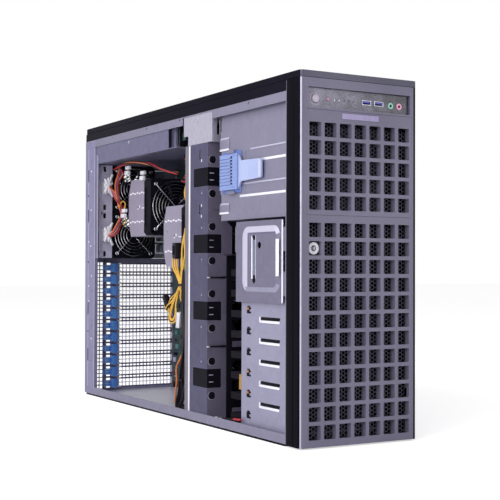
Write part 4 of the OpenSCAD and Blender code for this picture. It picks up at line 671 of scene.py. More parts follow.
def place_piece(name: str, mesh: bpy.types.Mesh, body: str, replaces: Sequence[str],
                bevel: float, sharp: float) -> bpy.types.Object:
    """Makes a mesh a piece of the part: shaded, bevelled and riding on its body.

    Args:
        name: The piece's name.
        mesh: Its mesh, in metres.
        body: The body that it moves with.
        replaces: CAD nodes that it stands for.
        bevel: Width of a bevel modifier, in millimetres, or 0.
        sharp: Angle in degrees past which an edge shades sharp.

    Returns:
        The piece.
    """
    if "custom_normal" in mesh.attributes:
        mesh.attributes.remove(mesh.attributes["custom_normal"])
    mesh.shade_smooth()
    mesh.set_sharp_from_angle(angle=radians(sharp))
    piece = bpy.data.objects.new(name, mesh)
    bpy.context.scene.collection.objects.link(piece)
    if bevel:
        soft = piece.modifiers.new("soft_edges", "BEVEL")
        soft.width, soft.segments, soft.limit_method = bevel * MM, 2, "ANGLE"
        soft.angle_limit, soft.use_clamp_overlap, soft.harden_normals = radians(35), True, True
    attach(piece, body)
    if replaces:
        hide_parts(*replaces)
    log.info("%s: %d faces on %s", name, len(mesh.polygons), body)
    return piece


def dress(node: str, finish: Finish, bevel: float = 0.25,
          rule: Callable[[bmesh.types.BMFace, Vector], Finish | None] | None = None,
          change: Callable[[Shape], None] | None = None, cuts: Sequence[float] = (),
          sharp: float = 32.0) -> bpy.types.Object:
    """Copies a CAD node's mesh, merges it, and gives it soft edges and its finishes.

    Args:
        node: The CAD node.
        finish: Its main finish.
        bevel: How wide its sharp edges are rounded, in millimetres.
        rule: Picks another finish for a face, given the face and its middle in millimetres.
        change: Adds fine shapes to the same mesh.
        cuts: Y of upright lines where a finish changes across a face.
        sharp: Angle in degrees past which an edge shades sharp.

    Returns:
        The piece that stands for the node.
    """
    source = frame["nodes"][node]
    shape = Shape()
    shape.slot(finish)
    bm = shape.bm
    bm.from_mesh(source.data)
    bmesh.ops.scale(bm, vec=(1 / MM, 1 / MM, 1 / MM), verts=bm.verts)
    bmesh.ops.remove_doubles(bm, verts=bm.verts, dist=0.002)
    bmesh.ops.dissolve_limit(bm, angle_limit=radians(1), verts=bm.verts, edges=bm.edges)
    shape.cut(cuts)
    for face in bm.faces:
        chosen = rule(face, face.calc_center_median()) if rule else None
        face.material_index = shape.slot(chosen or finish)
    if change:
        change(shape)
    return shape.finish_piece(node + "_dressed", source["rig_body"], [node], None, bevel, sharp)


class Loom:
    """Leads of round section, gathered as smooth curves and made a mesh."""

    def __init__(self, radius: float) -> None:
        """Takes the leads' radius in millimetres."""
        self.curve = bpy.data.curves.new("leads", "CURVE")
        self.curve.dimensions = "3D"
        self.curve.bevel_depth = radius * MM
        self.curve.bevel_resolution = 2
        self.curve.resolution_u = 5
        self.curve.use_fill_caps = True
        self.finishes: list[Finish] = []

    def lead(self, points: Sequence[Point], finish: Finish) -> None:
        """Adds a lead through its points.

        Args:
            points: Where it runs, in millimetres.
            finish: The colour of its jacket.
        """
        if finish not in self.finishes:
            self.finishes.append(finish)
            self.curve.materials.append(finish.material())
        spline = self.curve.splines.new("BEZIER")
        spline.bezier_points.add(len(points) - 1)
        for knot, point in zip(spline.bezier_points, points):
            knot.co = Vector(point) * MM
            knot.handle_left_type = knot.handle_right_type = "AUTO"
        spline.material_index = self.finishes.index(finish)

    def bundle(self, points: Sequence[Point], finishes: Sequence[Finish], spread: float, twist: float = 0.5,
               fan: float = 0.0) -> None:
        """Adds several leads that run side by side, slowly turning about each other.

        Args:
            points: The bundle's middle line, in millimetres.
            finishes: One jacket colour for each lead.
            spread: Radius of the bundle.
            twist: Turns from one end to the other.
            fan: How much further apart they lie in the middle, as a share.
        """
        count, last = len(finishes), max(len(points) - 1, 1)
        for k, finish in enumerate(finishes):
            line = []
            for i, point in enumerate(points):
                share = i / last
                angle = tau * (k / count + twist * share)
                reach = spread * (1 + fan * sin(pi * share)) * (1 if k % 2 else 0.7)
                line.append(Vector(point) + Vector((cos(angle), 0.4 * sin(angle * 2), sin(angle))) * reach)
            self.lead(line, finish)

    def finish_piece(self, name: str, replaces: Sequence[str] = ()) -> bpy.types.Object:
        """Turns the leads into one mesh piece of the chassis.

        Args:
            name: The piece's name.
            replaces: CAD nodes that it stands for.

        Returns:
            The piece.
        """
        holder = bpy.data.objects.new("leads", self.curve)
        bpy.context.scene.collection.objects.link(holder)
        graph = bpy.context.evaluated_depsgraph_get()
        mesh = bpy.data.meshes.new_from_object(holder.evaluated_get(graph))
        mesh.name = name
        bpy.data.objects.remove(holder)
        return place_piece(name, mesh, "chassis", replaces, 0.0, 60.0)


def corners(node: str) -> tuple[Vector, Vector]:
    """Returns a CAD node's lowest and highest corners in millimetres."""
    low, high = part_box(node)
    return low / MM, high / MM


@dataclass
class Bezel:
    """The hinged door with its grille, bay cover, mesh and lock, and the frame behind it."""

    cell: float = 5.1
    web: float = 0.95
    mesh_t: float = 0.8
    sheet: float = 0.4
    mesh_gap: tuple[float, float] = (280.0, 288.5)
    lock_clear: float = 11.0
    lock_half: float = 7.5
    badge_half: float = 28.2
    badge_ends: tuple[float, float] = (404.0, 413.0)
    front: float = field(default_factory=lambda: corners("bezel_door")[0].y)
    left: float = field(default_factory=lambda: corners("bezel_door")[0].x)
    lock: Vector = field(default_factory=lambda: sum(corners("lock_barrel"), Vector()) / 2)

    def build(self) -> None:
        """Builds every piece of the bezel."""
        dress("bezel_door", BEZEL_INNER, 0.3, self._coat)
        dress("bezel_frame", BEZEL_SIDE, 0.3, self._coat)
        dress("bay_cover", BEZEL_INNER, 0.3, self._coat)
        self.mesh()
        self.lock_face()

    def _coat(self, face: bmesh.types.BMFace, middle: Vector) -> Finish | None:
        """Picks the tone of a bezel face from the way that it faces: the front in a painted lit grey, the
        sides and inner faces in painted shade, the rounded corner with a painted highlight, and the badge in
        its own colour.

        Args:
            face: The face.
            middle: Its middle in millimetres.

        Returns:
            Its finish, or None for the inner one.
        """
        bottom, top = self.badge_ends
        on_badge = all(abs(v.co.x) < self.badge_half and bottom < v.co.z < top for v in face.verts)
        if on_badge and abs(middle.y - self.front) < 0.05:
            return BADGE
        if face.normal.y < -0.995 and middle.y < self.front + 1.5:
            return BEZEL_FRONT
        if middle.x < self.left + 7 and middle.y < self.front + 7 and face.normal.x < -0.05:
            if face.normal.x < -0.8:
                return BEZEL_SIDE
            # The rounded corner's faces carry a painted highlight; the faces beside them take the front grey.
            return BEZEL_CORNER_HIGHLIGHT if face.normal.x < -0.6 else BEZEL_FRONT
        if abs(abs(middle.x) - abs(self.left)) < 7 and abs(face.normal.x) > 0.05:
            return BEZEL_SIDE
        # Window walls that look to the open side are painted lighter, as painted light.
        return BEZEL_WALL_LIT if face.normal.x < -0.6 and middle.y < self.front + 12 else None

    def mesh(self) -> None:
        """Builds the hexagon mesh behind the windows at its true pitch."""
        low, high = corners("door_mesh")
        shape = Shape()
        step = Vector((self.cell * 0.866, 0, self.cell))
        for bottom, top in ((low.z, self.mesh_gap[0]), (self.mesh_gap[1], high.z)):
            self._panel(shape, low.x, high.x, bottom, top, low.y, step)
        bm = shape.bm
        bmesh.ops.remove_doubles(bm, verts=bm.verts, dist=0.02)
        cells = [f for f in bm.faces if len(f.verts) == 6]
        bmesh.ops.inset_individual(bm, faces=cells, thickness=self.web / 2, depth=0, use_even_offset=True)
        holes = [f for f in cells if f.is_valid
                 and (f.calc_center_median() - self.lock).xz.length > self.lock_clear]
        bmesh.ops.delete(bm, geom=holes, context="FACES")
        bmesh.ops.recalc_face_normals(bm, faces=bm.faces)
        index = shape.slot(MESH)
        for face in bm.faces:
            face.material_index = index
        piece = shape.finish_piece("door_mesh_hexagons", "door", ["door_mesh"])
        thick = piece.modifiers.new("sheet", "SOLIDIFY")
        thick.thickness, thick.offset = self.sheet * MM, 0.0

    def _panel(self, shape: Shape, x0: float, x1: float, z0: float, z1: float, y: float,
               step: Vector) -> None:
        """Lays one sheet of hexagons, column by column.

        Args:
            shape: Where they go.
            x0: Left end.
            x1: Right end.
            z0: Lower end.
            z1: Upper end.
            y: Front of the sheet.
            step: Pitch of the columns and of the cells in a column.
        """
        bm = shape.bm
        radius = self.cell / 3 ** 0.5
        columns, rows = int((x1 - x0 - 2 * radius) / step.x), int((z1 - z0 - step.z) / step.z)
        place = Matrix.Translation((x0 + radius, y + self.mesh_t / 2, z0 + step.z / 2))
        turn = Matrix.Rotation(pi / 2, 4, "X") @ Matrix.Rotation(pi / 6, 4, "Z")
        cell = bmesh.ops.create_circle(bm, cap_ends=True, segments=6, radius=radius, matrix=place @ turn)
        column = list(cell["verts"][0].link_faces)
        for row in range(1, rows):
            copy = bmesh.ops.duplicate(bm, geom=column[:1])["geom"]
            moved = [g for g in copy if isinstance(g, bmesh.types.BMVert)]
            bmesh.ops.translate(bm, vec=(0, 0, row * step.z), verts=moved)
            column += [g for g in copy if isinstance(g, bmesh.types.BMFace)]
        for number in range(1, columns + 1):
            copy = bmesh.ops.duplicate(bm, geom=column)["geom"]
            moved = [g for g in copy if isinstance(g, bmesh.types.BMVert)]
            bmesh.ops.translate(bm, vec=(number * step.x, 0, step.z / 2 if number % 2 else 0), verts=moved)

    def lock_face(self) -> None:
        """Dresses the lock: a pale outer ring, a dark ring, and a pale barrel with its keyway."""

        def ground(face: bmesh.types.BMFace, middle: Vector) -> Finish | None:
            """Colours the barrel by how far from its axis a face lies."""
            away = (middle - self.lock).xz.length
            return BLACK if middle.y > self.front + 7 or away < 2.4 else None

        low, _ = corners("lock_barrel")
        at = Vector((self.axis_x, low.y, self.lock_z))

        def rings(shape: Shape) -> None:
            """Adds the rings round the keyway."""
            shape.hoop(at + Vector((0, 0.35, 0)), 6.3, 0.5, WHITE)
            for outer, inner, finish in ((5.1, 4.0, WHITE), (3.6, 2.4, BLACK)):
                shape.hoop(at + Vector((0, 0.3, 0)), (outer + inner) / 2, (outer - inner) / 2 * 0.6, finish)

        dress("lock_barrel", KEY_WHITE, 0.15, ground, rings)

    @property
    def axis_x(self) -> float:
        """The lock's axis: the middle of the first window column."""
        return corners("lock_barrel")[0].x + self.lock_half

    @property
    def lock_z(self) -> float:
        """The height of the lock's axis."""
        return corners("lock_barrel")[1].z - self.lock_half


@dataclass
class ControlPanel:
    """The smoky strip with its two buttons, lamps, ports and jacks."""

    lamps: int = 5
    tongues: tuple[float, float] = (12.1, 31.2)
    tongue_half: float = 5.5
    jacks: tuple[float, float] = (49.8, 63.2)
    jack_z: float = 427.75
    panel: tuple[Vector, Vector] = field(default_factory=lambda: corners("control_panel"))
    ports: tuple[Vector, Vector] = field(default_factory=lambda: corners("front_ports"))

    def build(self) -> None:
        """Builds the strip and what stands in it."""
        front = self.panel[0].y
        dress("control_panel", BEZEL_INNER, 0.2, lambda f, m: PANEL if m.y < front + 3.2 else None,
              self._lamps)
        dress("front_ports", PORT, 0.15, self._port_coat)
        self._button("power_button", BUTTON, "power_button")
        self._button("reset_button", PINK, "reset_button")

    def _lamps(self, shape: Shape) -> None:
        """Adds the lamps in their bores and the pale ring round the power button."""
        low = self.panel[0]
        power = sum(corners("power_button"), Vector()) / 2
        for k in range(self.lamps):
            x = 43 + low.x + k * (-low.x - 51) / (self.lamps - 1)
            finish = LAMP if k < 2 else PANEL
            shape.rod((x, low.y + 0.5, power.z + 0.2), (x, low.y + 3, power.z + 0.2), 0.9, finish, sides=12)
        shape.hoop((power.x, low.y + 0.1, power.z), 7.4, 0.35, BUTTON)

    def _port_coat(self, face: bmesh.types.BMFace, middle: Vector) -> Finish | None:
        """Colours the tongues blue and the two jacks green and pink."""
        if middle.x < 41:
            at = min(self.tongues, key=lambda x: abs(x - middle.x))
            tongue = all(abs(v.co.x - at) < self.tongue_half for v in face.verts)
            return USB if tongue and middle.z > self.ports[0].z + 3 else None
        green = middle.x < sum(self.jacks) / 2
        axis = Vector((self.jacks[0] if green else self.jacks[1], self.jack_z))
        core = all((v.co.xz - axis).length < 2.0 for v in face.verts)
        if green:
            return GREEN_CORE if core else GREEN_RING
        return PINK_CORE if core else PINK_RING

    def _button(self, node: str, finish: Finish, body: str) -> None:
        """Builds a crowned button with its collar, turned about its axis.

        Args:
            node: The CAD node that it stands for.
            finish: Its finish.
            body: The body that it moves with.
        """
        low, high = corners(node)
        middle = (low + high) / 2
        collar = (high.x - low.x) / 2
        radius = collar - 1.2
        depth = high.y - low.y
        rim = ((0.0, depth), (radius * 0.55, depth - 0.05), (radius * 0.8, depth - 0.25),
               (radius * 0.93, depth - 0.6), (radius, depth - 1.1), (radius, 1.6), (collar, 1.6),
               (collar, 0.0), (0.0, 0.0))
        shape = Shape()
        shape.turned((middle.x, high.y, middle.z), rim, finish)
        shape.finish_piece(node + "_turned", body, [node])


@dataclass
class Shell:
    """The steel chassis, its covers, rear panel, slot covers and clips."""

    slot_pitch: float = 20.32
    slots: int = 11

    def build(self) -> None:
        """Builds the outer pieces."""
        dress("chassis_shell", STEEL, 0.2, self._floor_painted_reflection, self._shell_marks)
        # The top cover's forward faces are painted lighter, as painted light.
        dress("top_cover", COVER, 0.5, lambda f, m: COVER_FRONT_LIT if f.normal.y < -0.7 else None)
        dress("base_plate", COVER, 0.4)
        outer = corners("rear_panel")[0].x
        dress("rear_panel", REAR_STEEL, 0.0, lambda f, m: REAR_FLANGE if m.x < outer + 6.1 else None,
              self._shell_marks)
        dress("slot_covers", SLOT_STEEL_LIT, 0.0)
        for node, soft in (("io_shield", 0.12), ("crossbar_bracket", 0.3), ("case_screws", 0.15)):
            dress(node, BRIGHT, soft)
        for number in range(1, self.slots + 1):
            dress(f"slot_clip_{number}", CLIP, 0.4, change=self._clip_highlights)
        self.slot_tabs()
        self.open_side_fittings()

    @staticmethod
    def _floor_painted_reflection(face: bmesh.types.BMFace, middle: Vector) -> Finish | None:
        """Paints the chassis floor inside its lip near-white, a painted reflection of the bright openings in
        the rear wall.
        """
        return FLOOR_STEEL_REFLECTED if face.normal.z > 0.9 and middle.z < 6 and middle.x > -83 else None

    @staticmethod
    def _shell_marks(shape: Shape) -> None:
        """Marks the rivets of the rear flange on the open side with painted glints, and its rolled lines with
        painted highlights.
        """
        x, y0 = min(v.co.x for v in shape.bm.verts), corners("chassis_shell")[0].y
        for y, z in ((314.0, 387.2), (314.8, 320.1), (315.8, 257.8), (323.6, 188.4), (323.2, 162.3),
                     (y0 + 600, 61.0), (y0 + 641, 98.0), (y0 + 641, 206.0), (y0 + 654, 265.0)):
            shape.patch(x, (y - 1.8, y + 1.8), (z - 1.2, z + 1.2), PAINTED_HIGHLIGHT)
        for y in (298.6, 326.8):
            shape.patch(x, (y - 1.0, y + 1.0), (14.0, 426.0), PALE_STEEL_AND_HIGHLIGHT)

    @staticmethod
    def _clip_highlights(shape: Shape) -> None:
        """Adds pale boxes along a clip's arm: painted highlights on its edges, standing out as its moulded
        steps.
        """
        low = Vector(tuple(min(v.co[i] for v in shape.bm.verts) for i in range(3)))
        high = Vector(tuple(max(v.co[i] for v in shape.bm.verts) for i in range(3)))
        middle = (low.z + high.z) / 2
        for z, reach in ((4.4, 11), (0.3, 7), (-4.4, 9)):
            shape.box((low.x + 1.5, low.y - 0.02, middle + z - 0.7),
                      (low.x + 1.5 + reach, low.y + 0.8, middle + z + 0.7), CLIP_PALE_AND_HIGHLIGHT, 0.3)

    def slot_tabs(self) -> None:
        """Adds the finger tabs below the clips, bright with painted light, and the dark seams beside the
        ribs, which are painted shade on the covers' returned edges.
        """
        low, high = corners("slot_covers")
        shape = Shape()
        for number in range(self.slots):
            z = low.z + 7.7 + number * self.slot_pitch
            shape.box((-32.5, 334.6, z - 7.4), (-23.5, 338.0, z - 4.6), SLOT_STEEL_LIT, 0.6)
            shape.box((-36.0, 335.4, z - 10.4), (-30.0, 338.0, z - 8.0), PINK_STEEL, 0.5)
            for side in (-1, 1):
                edge = z + side * 7.3
                shape.box((-21.0, 338.6, edge - 0.95), (high.x, 339.25, edge + 0.95), SEAM_SHADE, 0.2)
        shape.box((-30.2, 336.8, low.z + 1), (-27.4, 338.6, high.z - 1), PALE_STEEL_AND_HIGHLIGHT, 0.4)
        shape.finish_piece("slot_tabs", "chassis", slot="bright_steel")

    def open_side_fittings(self) -> None:
        """Adds the lip by the rear fans, a knob, and the small clamp on the floor lip."""
        shape = Shape()
        shape.rod((-87.0, 164.2, 422.4), (-84.0, 164.2, 422.4), 2.4, WHITE, sides=16)
        shape.box((-88.4, 285.0, 236.0), (-87.4, 297.0, 414.0), LIP_STEEL, 0.2)
        # The rod along the lip's edge is a painted highlight.
        shape.rod((-88.2, 286.0, 237.0), (-88.2, 286.0, 412.0), 0.6, PALE_STEEL_AND_HIGHLIGHT, sides=10)
        shape.finish_piece("open_side_rivets", "chassis", slot="bright_steel")
        clamp = Shape()
        clamp.box((-87.4, -158.0, 8.4), (-85.0, -126.0, 10.6), BRIGHT, 0.5)
        clamp.box((-87.2, -146.0, 10.0), (-85.2, -141.0, 15.5), WHITE, 0.5)
        clamp.rod((-86.2, -127.0, 12.0), (-86.2, -157.0, 14.2), 1.1, WHITE)
        clamp.rod((-86.2, -157.0, 13.6), (-86.2, -193.0, 17.6), 0.9, LEAD_BLACK)
        clamp.rod((-86.2, -193.0, 17.8), (-86.2, -212.0, 19.0), 1.5, RED)
        clamp.finish_piece("floor_clamp", "chassis", slot="bright_steel")


@dataclass
class Cooling:
    """The fan wall, every fan with its rotor, the wire guards and the two tower coolers."""

    guard_pitch: float = 5.4
    wire: float = 0.9
    guard_gap: float = 2.0
    hem: float = 11.3
    bend: float = 16.0
    coolers: tuple[str, str] = ("rear", "front")
    intakes: range = range(1, 5)

    def build(self) -> None:
        """Builds the cooling pieces."""
        low, high = corners("fan_wall")
        bends = (high.y - self.hem, high.y - self.bend)
        dress("fan_wall", WALL_FLANGE, 0.35, lambda f, m: self._wall_coat(f, m, low.x, bends),
              self._wall_marks, cuts=bends)
        dress("intake_fans", BLACK, 0.5)
        for number in self.intakes:
            dress(f"intake_rotor_{number}", BLACK, 0.0)
        dress("exhaust_fans", BLACK, 0.4)
        for name in ("lower", "upper"):
            dress(f"exhaust_rotor_{name}", BLACK, 0.0)
        for name in self.coolers:
            dress(f"cooler_fan_{name}", BLACK, 0.4)
            dress(f"cooler_rotor_{name}", BLACK, 0.0)
            self.cooler(name)
        self.guards()
        self.wall_fittings()
        dress("exhaust_bracket", BRACKET_STEEL, 0.25, self._connector_coat, self._bracket_edge)

    @staticmethod
    def _wall_coat(face: bmesh.types.BMFace, middle: Vector, outer: float,
                   bends: tuple[float, float]) -> Finish | None:
        """Colours the wall's outer web, its bend with a painted highlight and its rolled hem with a painted
        sheen.

        Args:
            face: The face.
            middle: Its middle in millimetres.
            outer: X of the web.
            bends: Y of both sides of the bend's painted highlight.

        Returns:
            Its finish, or None for the flanges.
        """
        if face.normal.x > -0.9 or middle.x > outer + 2:
            return None
        if middle.y > bends[0]:
            return HEM_SHEEN
        return PAINTED_HIGHLIGHT if middle.y > bends[1] else WALL_STEEL

    @staticmethod
    def _wall_marks(shape: Shape) -> None:
        """Marks the rivets of the wall's web and the ends of its slots with painted glints."""
        low, _ = corners("fan_wall")
        for z in (88.0, 137.0, 182.0, 232.0, 277.0, 326.0):
            shape.patch(low.x, (low.y + 16.8, low.y + 19.2), (z - 1.0, z + 1.0), PALE_STEEL_AND_HIGHLIGHT)
        for z in (308.5, 293.4, 372.3):
            shape.patch(low.x, (low.y + 17.6, low.y + 20.0), (z - 1.8, z + 1.8), PAINTED_HIGHLIGHT)

    def wall_fittings(self) -> None:
        """Adds what shows in the fan wall's flange: dark bores, the fans' plugs and two cable ties."""
        low, _ = corners("fan_wall")
        front = corners("intake_fans")[0].y
        shape = Shape()
        for number in self.intakes:
            z = sum(corners(f"intake_rotor_{number}"), Vector()).z / 2
            for side in (-24, 24):
                up = z + side
                for x, y, radius, finish in ((-80.5, 0.9, 6.15, PALE_STEEL_AND_HIGHLIGHT), (-79.4, 0.6, 5.4, BLACK)):
                    shape.rod((x, low.y + y, up), (x, low.y + y + 0.3, up), radius, finish, sides=28)
            for up in (z - 4.9, z + 4.9):
                shape.box((-84.2, front - 0.3, up - 0.6), (-77.6, front + 0.1, up + 0.6), PALE_STEEL_AND_HIGHLIGHT, 0.1)
        for z in (206.8, 110.0):
            shape.rod((-84.0, low.y - 1.0, z), (-57.6, low.y - 1.0, z), 0.9, BLACK, tip=1.5, sides=12)
            # The heads of the cable ties carry a painted highlight.
            shape.box((-88.4, low.y - 1.6, z - 1.0), (-84.0, low.y - 0.4, z + 0.9), PAINTED_HIGHLIGHT, 0.4)
        shape.finish_piece("fan_wall_fittings", "chassis", slot="black_plastic")

    @staticmethod
    def _bracket_edge(shape: Shape) -> None:
        """Adds a rod along the rolled edge of the bracket's open side, near-white as a painted highlight."""
        points = [v.co.copy() for v in shape.bm.verts]
        x, bottom, top = min(p.x for p in points), min(p.z for p in points), max(p.z for p in points)
        y = min(p.y for p in points if p.x < x + 0.5)
        shape.rod((x + 0.4, y + 0.3, bottom + 1), (x + 0.4, y + 0.3, top - 1), 0.75, PAINTED_HIGHLIGHT, sides=10)

    def _connector_coat(self, face: bmesh.types.BMFace, middle: Vector) -> Finish | None:
        """Colours the connectors in front of the bracket white."""
        front = corners("exhaust_fans")[0].y - 1.6
        return WHITE if middle.y < front and middle.x > corners("exhaust_bracket")[0].x + 4 else None

    def cooler(self, name: str) -> None:
        """Dresses a cooler: bare fins, and a satin top plate with two rows of crimped tabs.

        Args:
            name: Which of the two coolers.
        """
        node = f"cpu_cooler_{name}"
        low, high = corners(node)
        middle = (low.z + high.z) / 2
        quarter = (high.z - low.z) / 4

        def tabs(shape: Shape) -> None:
            """Adds the tabs, the bore's rim and the pale mark beside it."""
            for s in (-1, 1):
                for k in range(7):
                    y = low.y + 5 + k * 9.0
                    lift = 1.4 * (k % 2)
                    # The crimped tabs are near-white as painted highlights.
                    shape.box((low.x - 0.25, y, middle + s * quarter - 1.2 + lift),
                              (low.x + 0.4, y + 6.6, middle + s * quarter + 1.2 + lift), PAINTED_HIGHLIGHT, 0.2)
            wide, tall = high.y - low.y, high.z - low.z
            for along, up, radius, finish in ((0.46, 0.49, 1.6, BLACK), (0.37, 0.48, 2.4, WHITE),
                                              (0.46, 0.52, 1.8, WHITE)):
                y, z = low.y + along * wide, high.z - up * tall
                shape.rod((low.x - 0.05, y, z), (low.x + 1, y, z), radius, finish)
            for up, finish in ((0.45, BADGE), (0.51, CLIP_PALE_AND_HIGHLIGHT)):
                z = high.z - up * tall
                shape.box((low.x - 0.1, low.y + 0.1 * wide, z - 1.1),
                          (low.x + 1, low.y + 0.26 * wide, z + 1.1), finish, 0.1)

        dress(node, FIN, 0.12, lambda f, m: PLATE if m.x < low.x + 1.3 else None, tabs)

    def guards(self) -> None:
        """Builds the four wire guards: closely spaced rings on two crossed bars."""
        shape = Shape()
        for node, side in (("exhaust_rotor_lower", 80), ("exhaust_rotor_upper", 80),
                           ("cooler_rotor_rear", 92), ("cooler_rotor_front", 92)):
            low, high = corners(node)
            middle = (low + high) / 2
            y = low.y - self.guard_gap - self.wire
            radius = side / 2 - 4
            while radius > 10:
                shape.hoop((middle.x, y, middle.z), radius, self.wire, CHROME)
                radius -= self.guard_pitch
            for s in (-1, 1):
                reach = side / 2 * 1.16 * 0.707
                shape.rod((middle.x - reach, y + 0.5, middle.z - s * reach),
                          (middle.x + reach, y + 0.5, middle.z + s * reach), self.wire, CHROME, sides=10)
                for end in (-1, 1):
                    eye = (middle.x + end * (reach - 1), y + 0.4, middle.z + end * s * (reach - 1))
                    shape.hoop(eye, 2.6, self.wire * 0.8, CHROME, steps=20, sides=6)
        shape.finish_piece("wire_guards", "chassis", ["fan_guards"])


@dataclass
class Bays:
    """The bay cage with its latch, the drive cage with its cover plate, and the drives."""

    rows: int = 8
    pitch: float = 27.65
    first: float = 9.9
    lips_below: float = 170.0
    black_from: float = -201.0
    # Where the cover plate's painted light begins, a Y and a depth below its top, then the widths of the
    # painted shadow line inside it.
    frame_edge: tuple[float, float] = (-231.5, 15.0)
    line: tuple[float, float] = (3.0, 2.5)

    def build(self) -> None:
        """Builds the bays."""
        dress("bay_cage", STEEL, 0.0, sharp=20)
        dress("bay_blanks", BLACK_STEEL, 0.2)
        dress("drive_cage", DRIVE_STEEL, 0.2, lambda f, m: BLACK_STEEL if m.y > self.black_from else None,
              cuts=(self.black_from,))
        dress("drive_carriers", BLACK, 0.2, self._drive_coat)
        dress("drive_backplane", BLACK, 0.15)
        dress("drive_cover_plate", PLATE_STEEL, 0.25, self._plate_coat, self._plate_marks, sharp=12)
        self.latch()
        self.cage_fittings()
        self.bands()

    def _drive_coat(self, face: bmesh.types.BMFace, middle: Vector) -> Finish | None:
        """Colours the drives grey between their black carriers."""
        return DARK_DRIVE if abs(middle.x) < 50.9 and middle.y > corners("drive_carriers")[0].y + 19 else None

    def latch(self) -> None:
        """Dresses the latch: fine ribs, a column of pits, and a paler thumb tongue."""
        low, high = corners("bay_latch")
        middle = (low.z + high.z) / 2
        block = high.y - 48

        def coat(face: bmesh.types.BMFace, at: Vector) -> Finish | None:
            """Colours the base a deeper blue than the ribbed block, and the pits dark with painted shade."""
            if at.x > high.x - 2.7:
                return LATCH_DEEP
            if abs(at.z - middle) < 22 and block + 12.9 < at.y < block + 18.1 and at.x > low.x + 0.6:
                return LATCH_PIT_SHADE
            return TONGUE if at.y < block else None

        def ribs(shape: Shape) -> None:
            """Adds the fine ribs on the block and the stops on the tongue."""
            for k in range(-6, 7):
                z = middle + k * 3.3
                shape.box((low.x - 0.05, block + 20, z - 0.35), (low.x + 0.5, high.y - 1.5, z + 0.35),
                          LATCH, 0.15)
            for k in range(10):
                y = low.y + 8 + k * 2.6
                shape.box((low.x + 2.2, y, middle - 11), (low.x + 2.75, y + 1.0, middle + 11), TONGUE, 0.2)
            x, y = low.x + 2.3, low.y + 4.2
            shape.rod((x, y, middle - 11.5), (x, y, middle + 11.5), 0.9, WHITE)
            for s in (-1, 1):
                z = middle + s * 21
                shape.box((low.x - 0.1, block + 4, z - 0.6), (low.x + 0.6, block + 16, z + 0.6),
                          LATCH_DEEP, 0.2)

        dress("bay_latch", LATCH, 0.5, coat, ribs)

    def cage_fittings(self) -> None:
        """Adds the bent lips under the drive cage's slots, near-white as a painted highlight, and the clips
        in its windows.
        """
        low, _ = corners("drive_cage")
        heights = [low.z + self.first + k * self.pitch for k in range(1, self.rows)]
        shape = Shape()
        for z in (z for z in heights if z <= self.lips_below):
            shape.box((low.x - 1.3, low.y + 27.0, z - 3.2), (low.x + 0.1, low.y + 76.0, z + 0.2), PAINTED_HIGHLIGHT, 0.7)
            x, y = low.x - 0.6, low.y + 76.0
            shape.rod((x, y, z - 2.6), (x, y, z + 4.6), 1.1, PAINTED_HIGHLIGHT, sides=12)
            shape.box((low.x - 0.15, low.y + 28.0, z + 0.4), (low.x + 0.2, low.y + 74.5, z + 4.2), BLACK, 0.1)
        shape.finish_piece("drive_cage_lips", "chassis", slot="bright_steel")
        clips = Shape()
        for k in range(6):
            z = low.z + self.first + (k + 0.5) * self.pitch
            clips.box((low.x - 0.12, -227.8, z - 6.0), (low.x + 0.3, -216.6, z + 2.0), BLACK, 0.1)
            clips.box((low.x - 0.25, -227.9, z - 3.4), (low.x + 0.3, -224.6, z - 0.4), DRIVE_STEEL, 0.1)
            if k in (1, 2, 5):
                clips.box((low.x - 0.35, -222.0, z - 1.2), (low.x + 0.3, -216.8, z + 1.9), COPPER, 0.3)
        clips.finish_piece("window_clips", "chassis", slot="port_metal")

    @staticmethod
    def _plate_coat(face: bmesh.types.BMFace, middle: Vector) -> Finish | None:
        """Paints light on the cover plate's slopes that look up or to the rear, and gives its downward slopes
        the drive cage's grey.
        """
        if not -0.99 < face.normal.x < -0.15:
            return None
        if face.normal.y > 0.12 or face.normal.z > 0.12:
            return PLATE_SLOPE_LIT
        return DRIVE_STEEL if face.normal.z < -0.12 else None

    def _plate_marks(self, shape: Shape) -> None:
        """Adds painted light along the plate's rear and top with a painted shadow line inside it, the slot's
        turned rim and the front edge with painted highlights, a strip of painted reflection, and a grey box
        in the slot.
        """
        low, high = corners("drive_cover_plate")
        rear, top = self.frame_edge[0], high.z - self.frame_edge[1]
        inner_rear, inner_top = rear - self.line[0], top - self.line[1]
        shape.cut(y=(rear, inner_rear), z=(top, inner_top))
        line, slope = shape.slot(PLATE_LINE), shape.slot(PLATE_SLOPE_LIT)
        for face in shape.bm.faces:
            middle = face.calc_center_median()
            if face.normal.x < -0.99 and middle.x < low.x + 0.1:
                if middle.y > rear or middle.z > top:
                    face.material_index = slope
                elif middle.y > inner_rear or middle.z > inner_top:
                    face.material_index = line
        shape.box((low.x + 1.4, -251.8, 211.0), (low.x + 2.0, -244.2, 257.0), SLOT_DEPTH, 0.1)
        shape.box((low.x - 0.05, -311.0, 210.0), (low.x + 0.2, -303.0, 257.0), PAINTED_HIGHLIGHT, 0.05)
        shape.box((low.x + 1.6, -317.6, low.z + 1), (low.x + 2.3, -314.6, high.z - 1), PAINTED_HIGHLIGHT, 0.2)
        shape.rod((low.x + 0.9, -242.6, 206.0), (low.x + 0.9, -242.6, 262.0), 1.2, PAINTED_HIGHLIGHT, sides=12)
        shape.rod((low.x + 0.1, -252.9, 206.0), (low.x + 0.1, -252.9, 262.0), 0.6, PALE_STEEL_AND_HIGHLIGHT, sides=10)

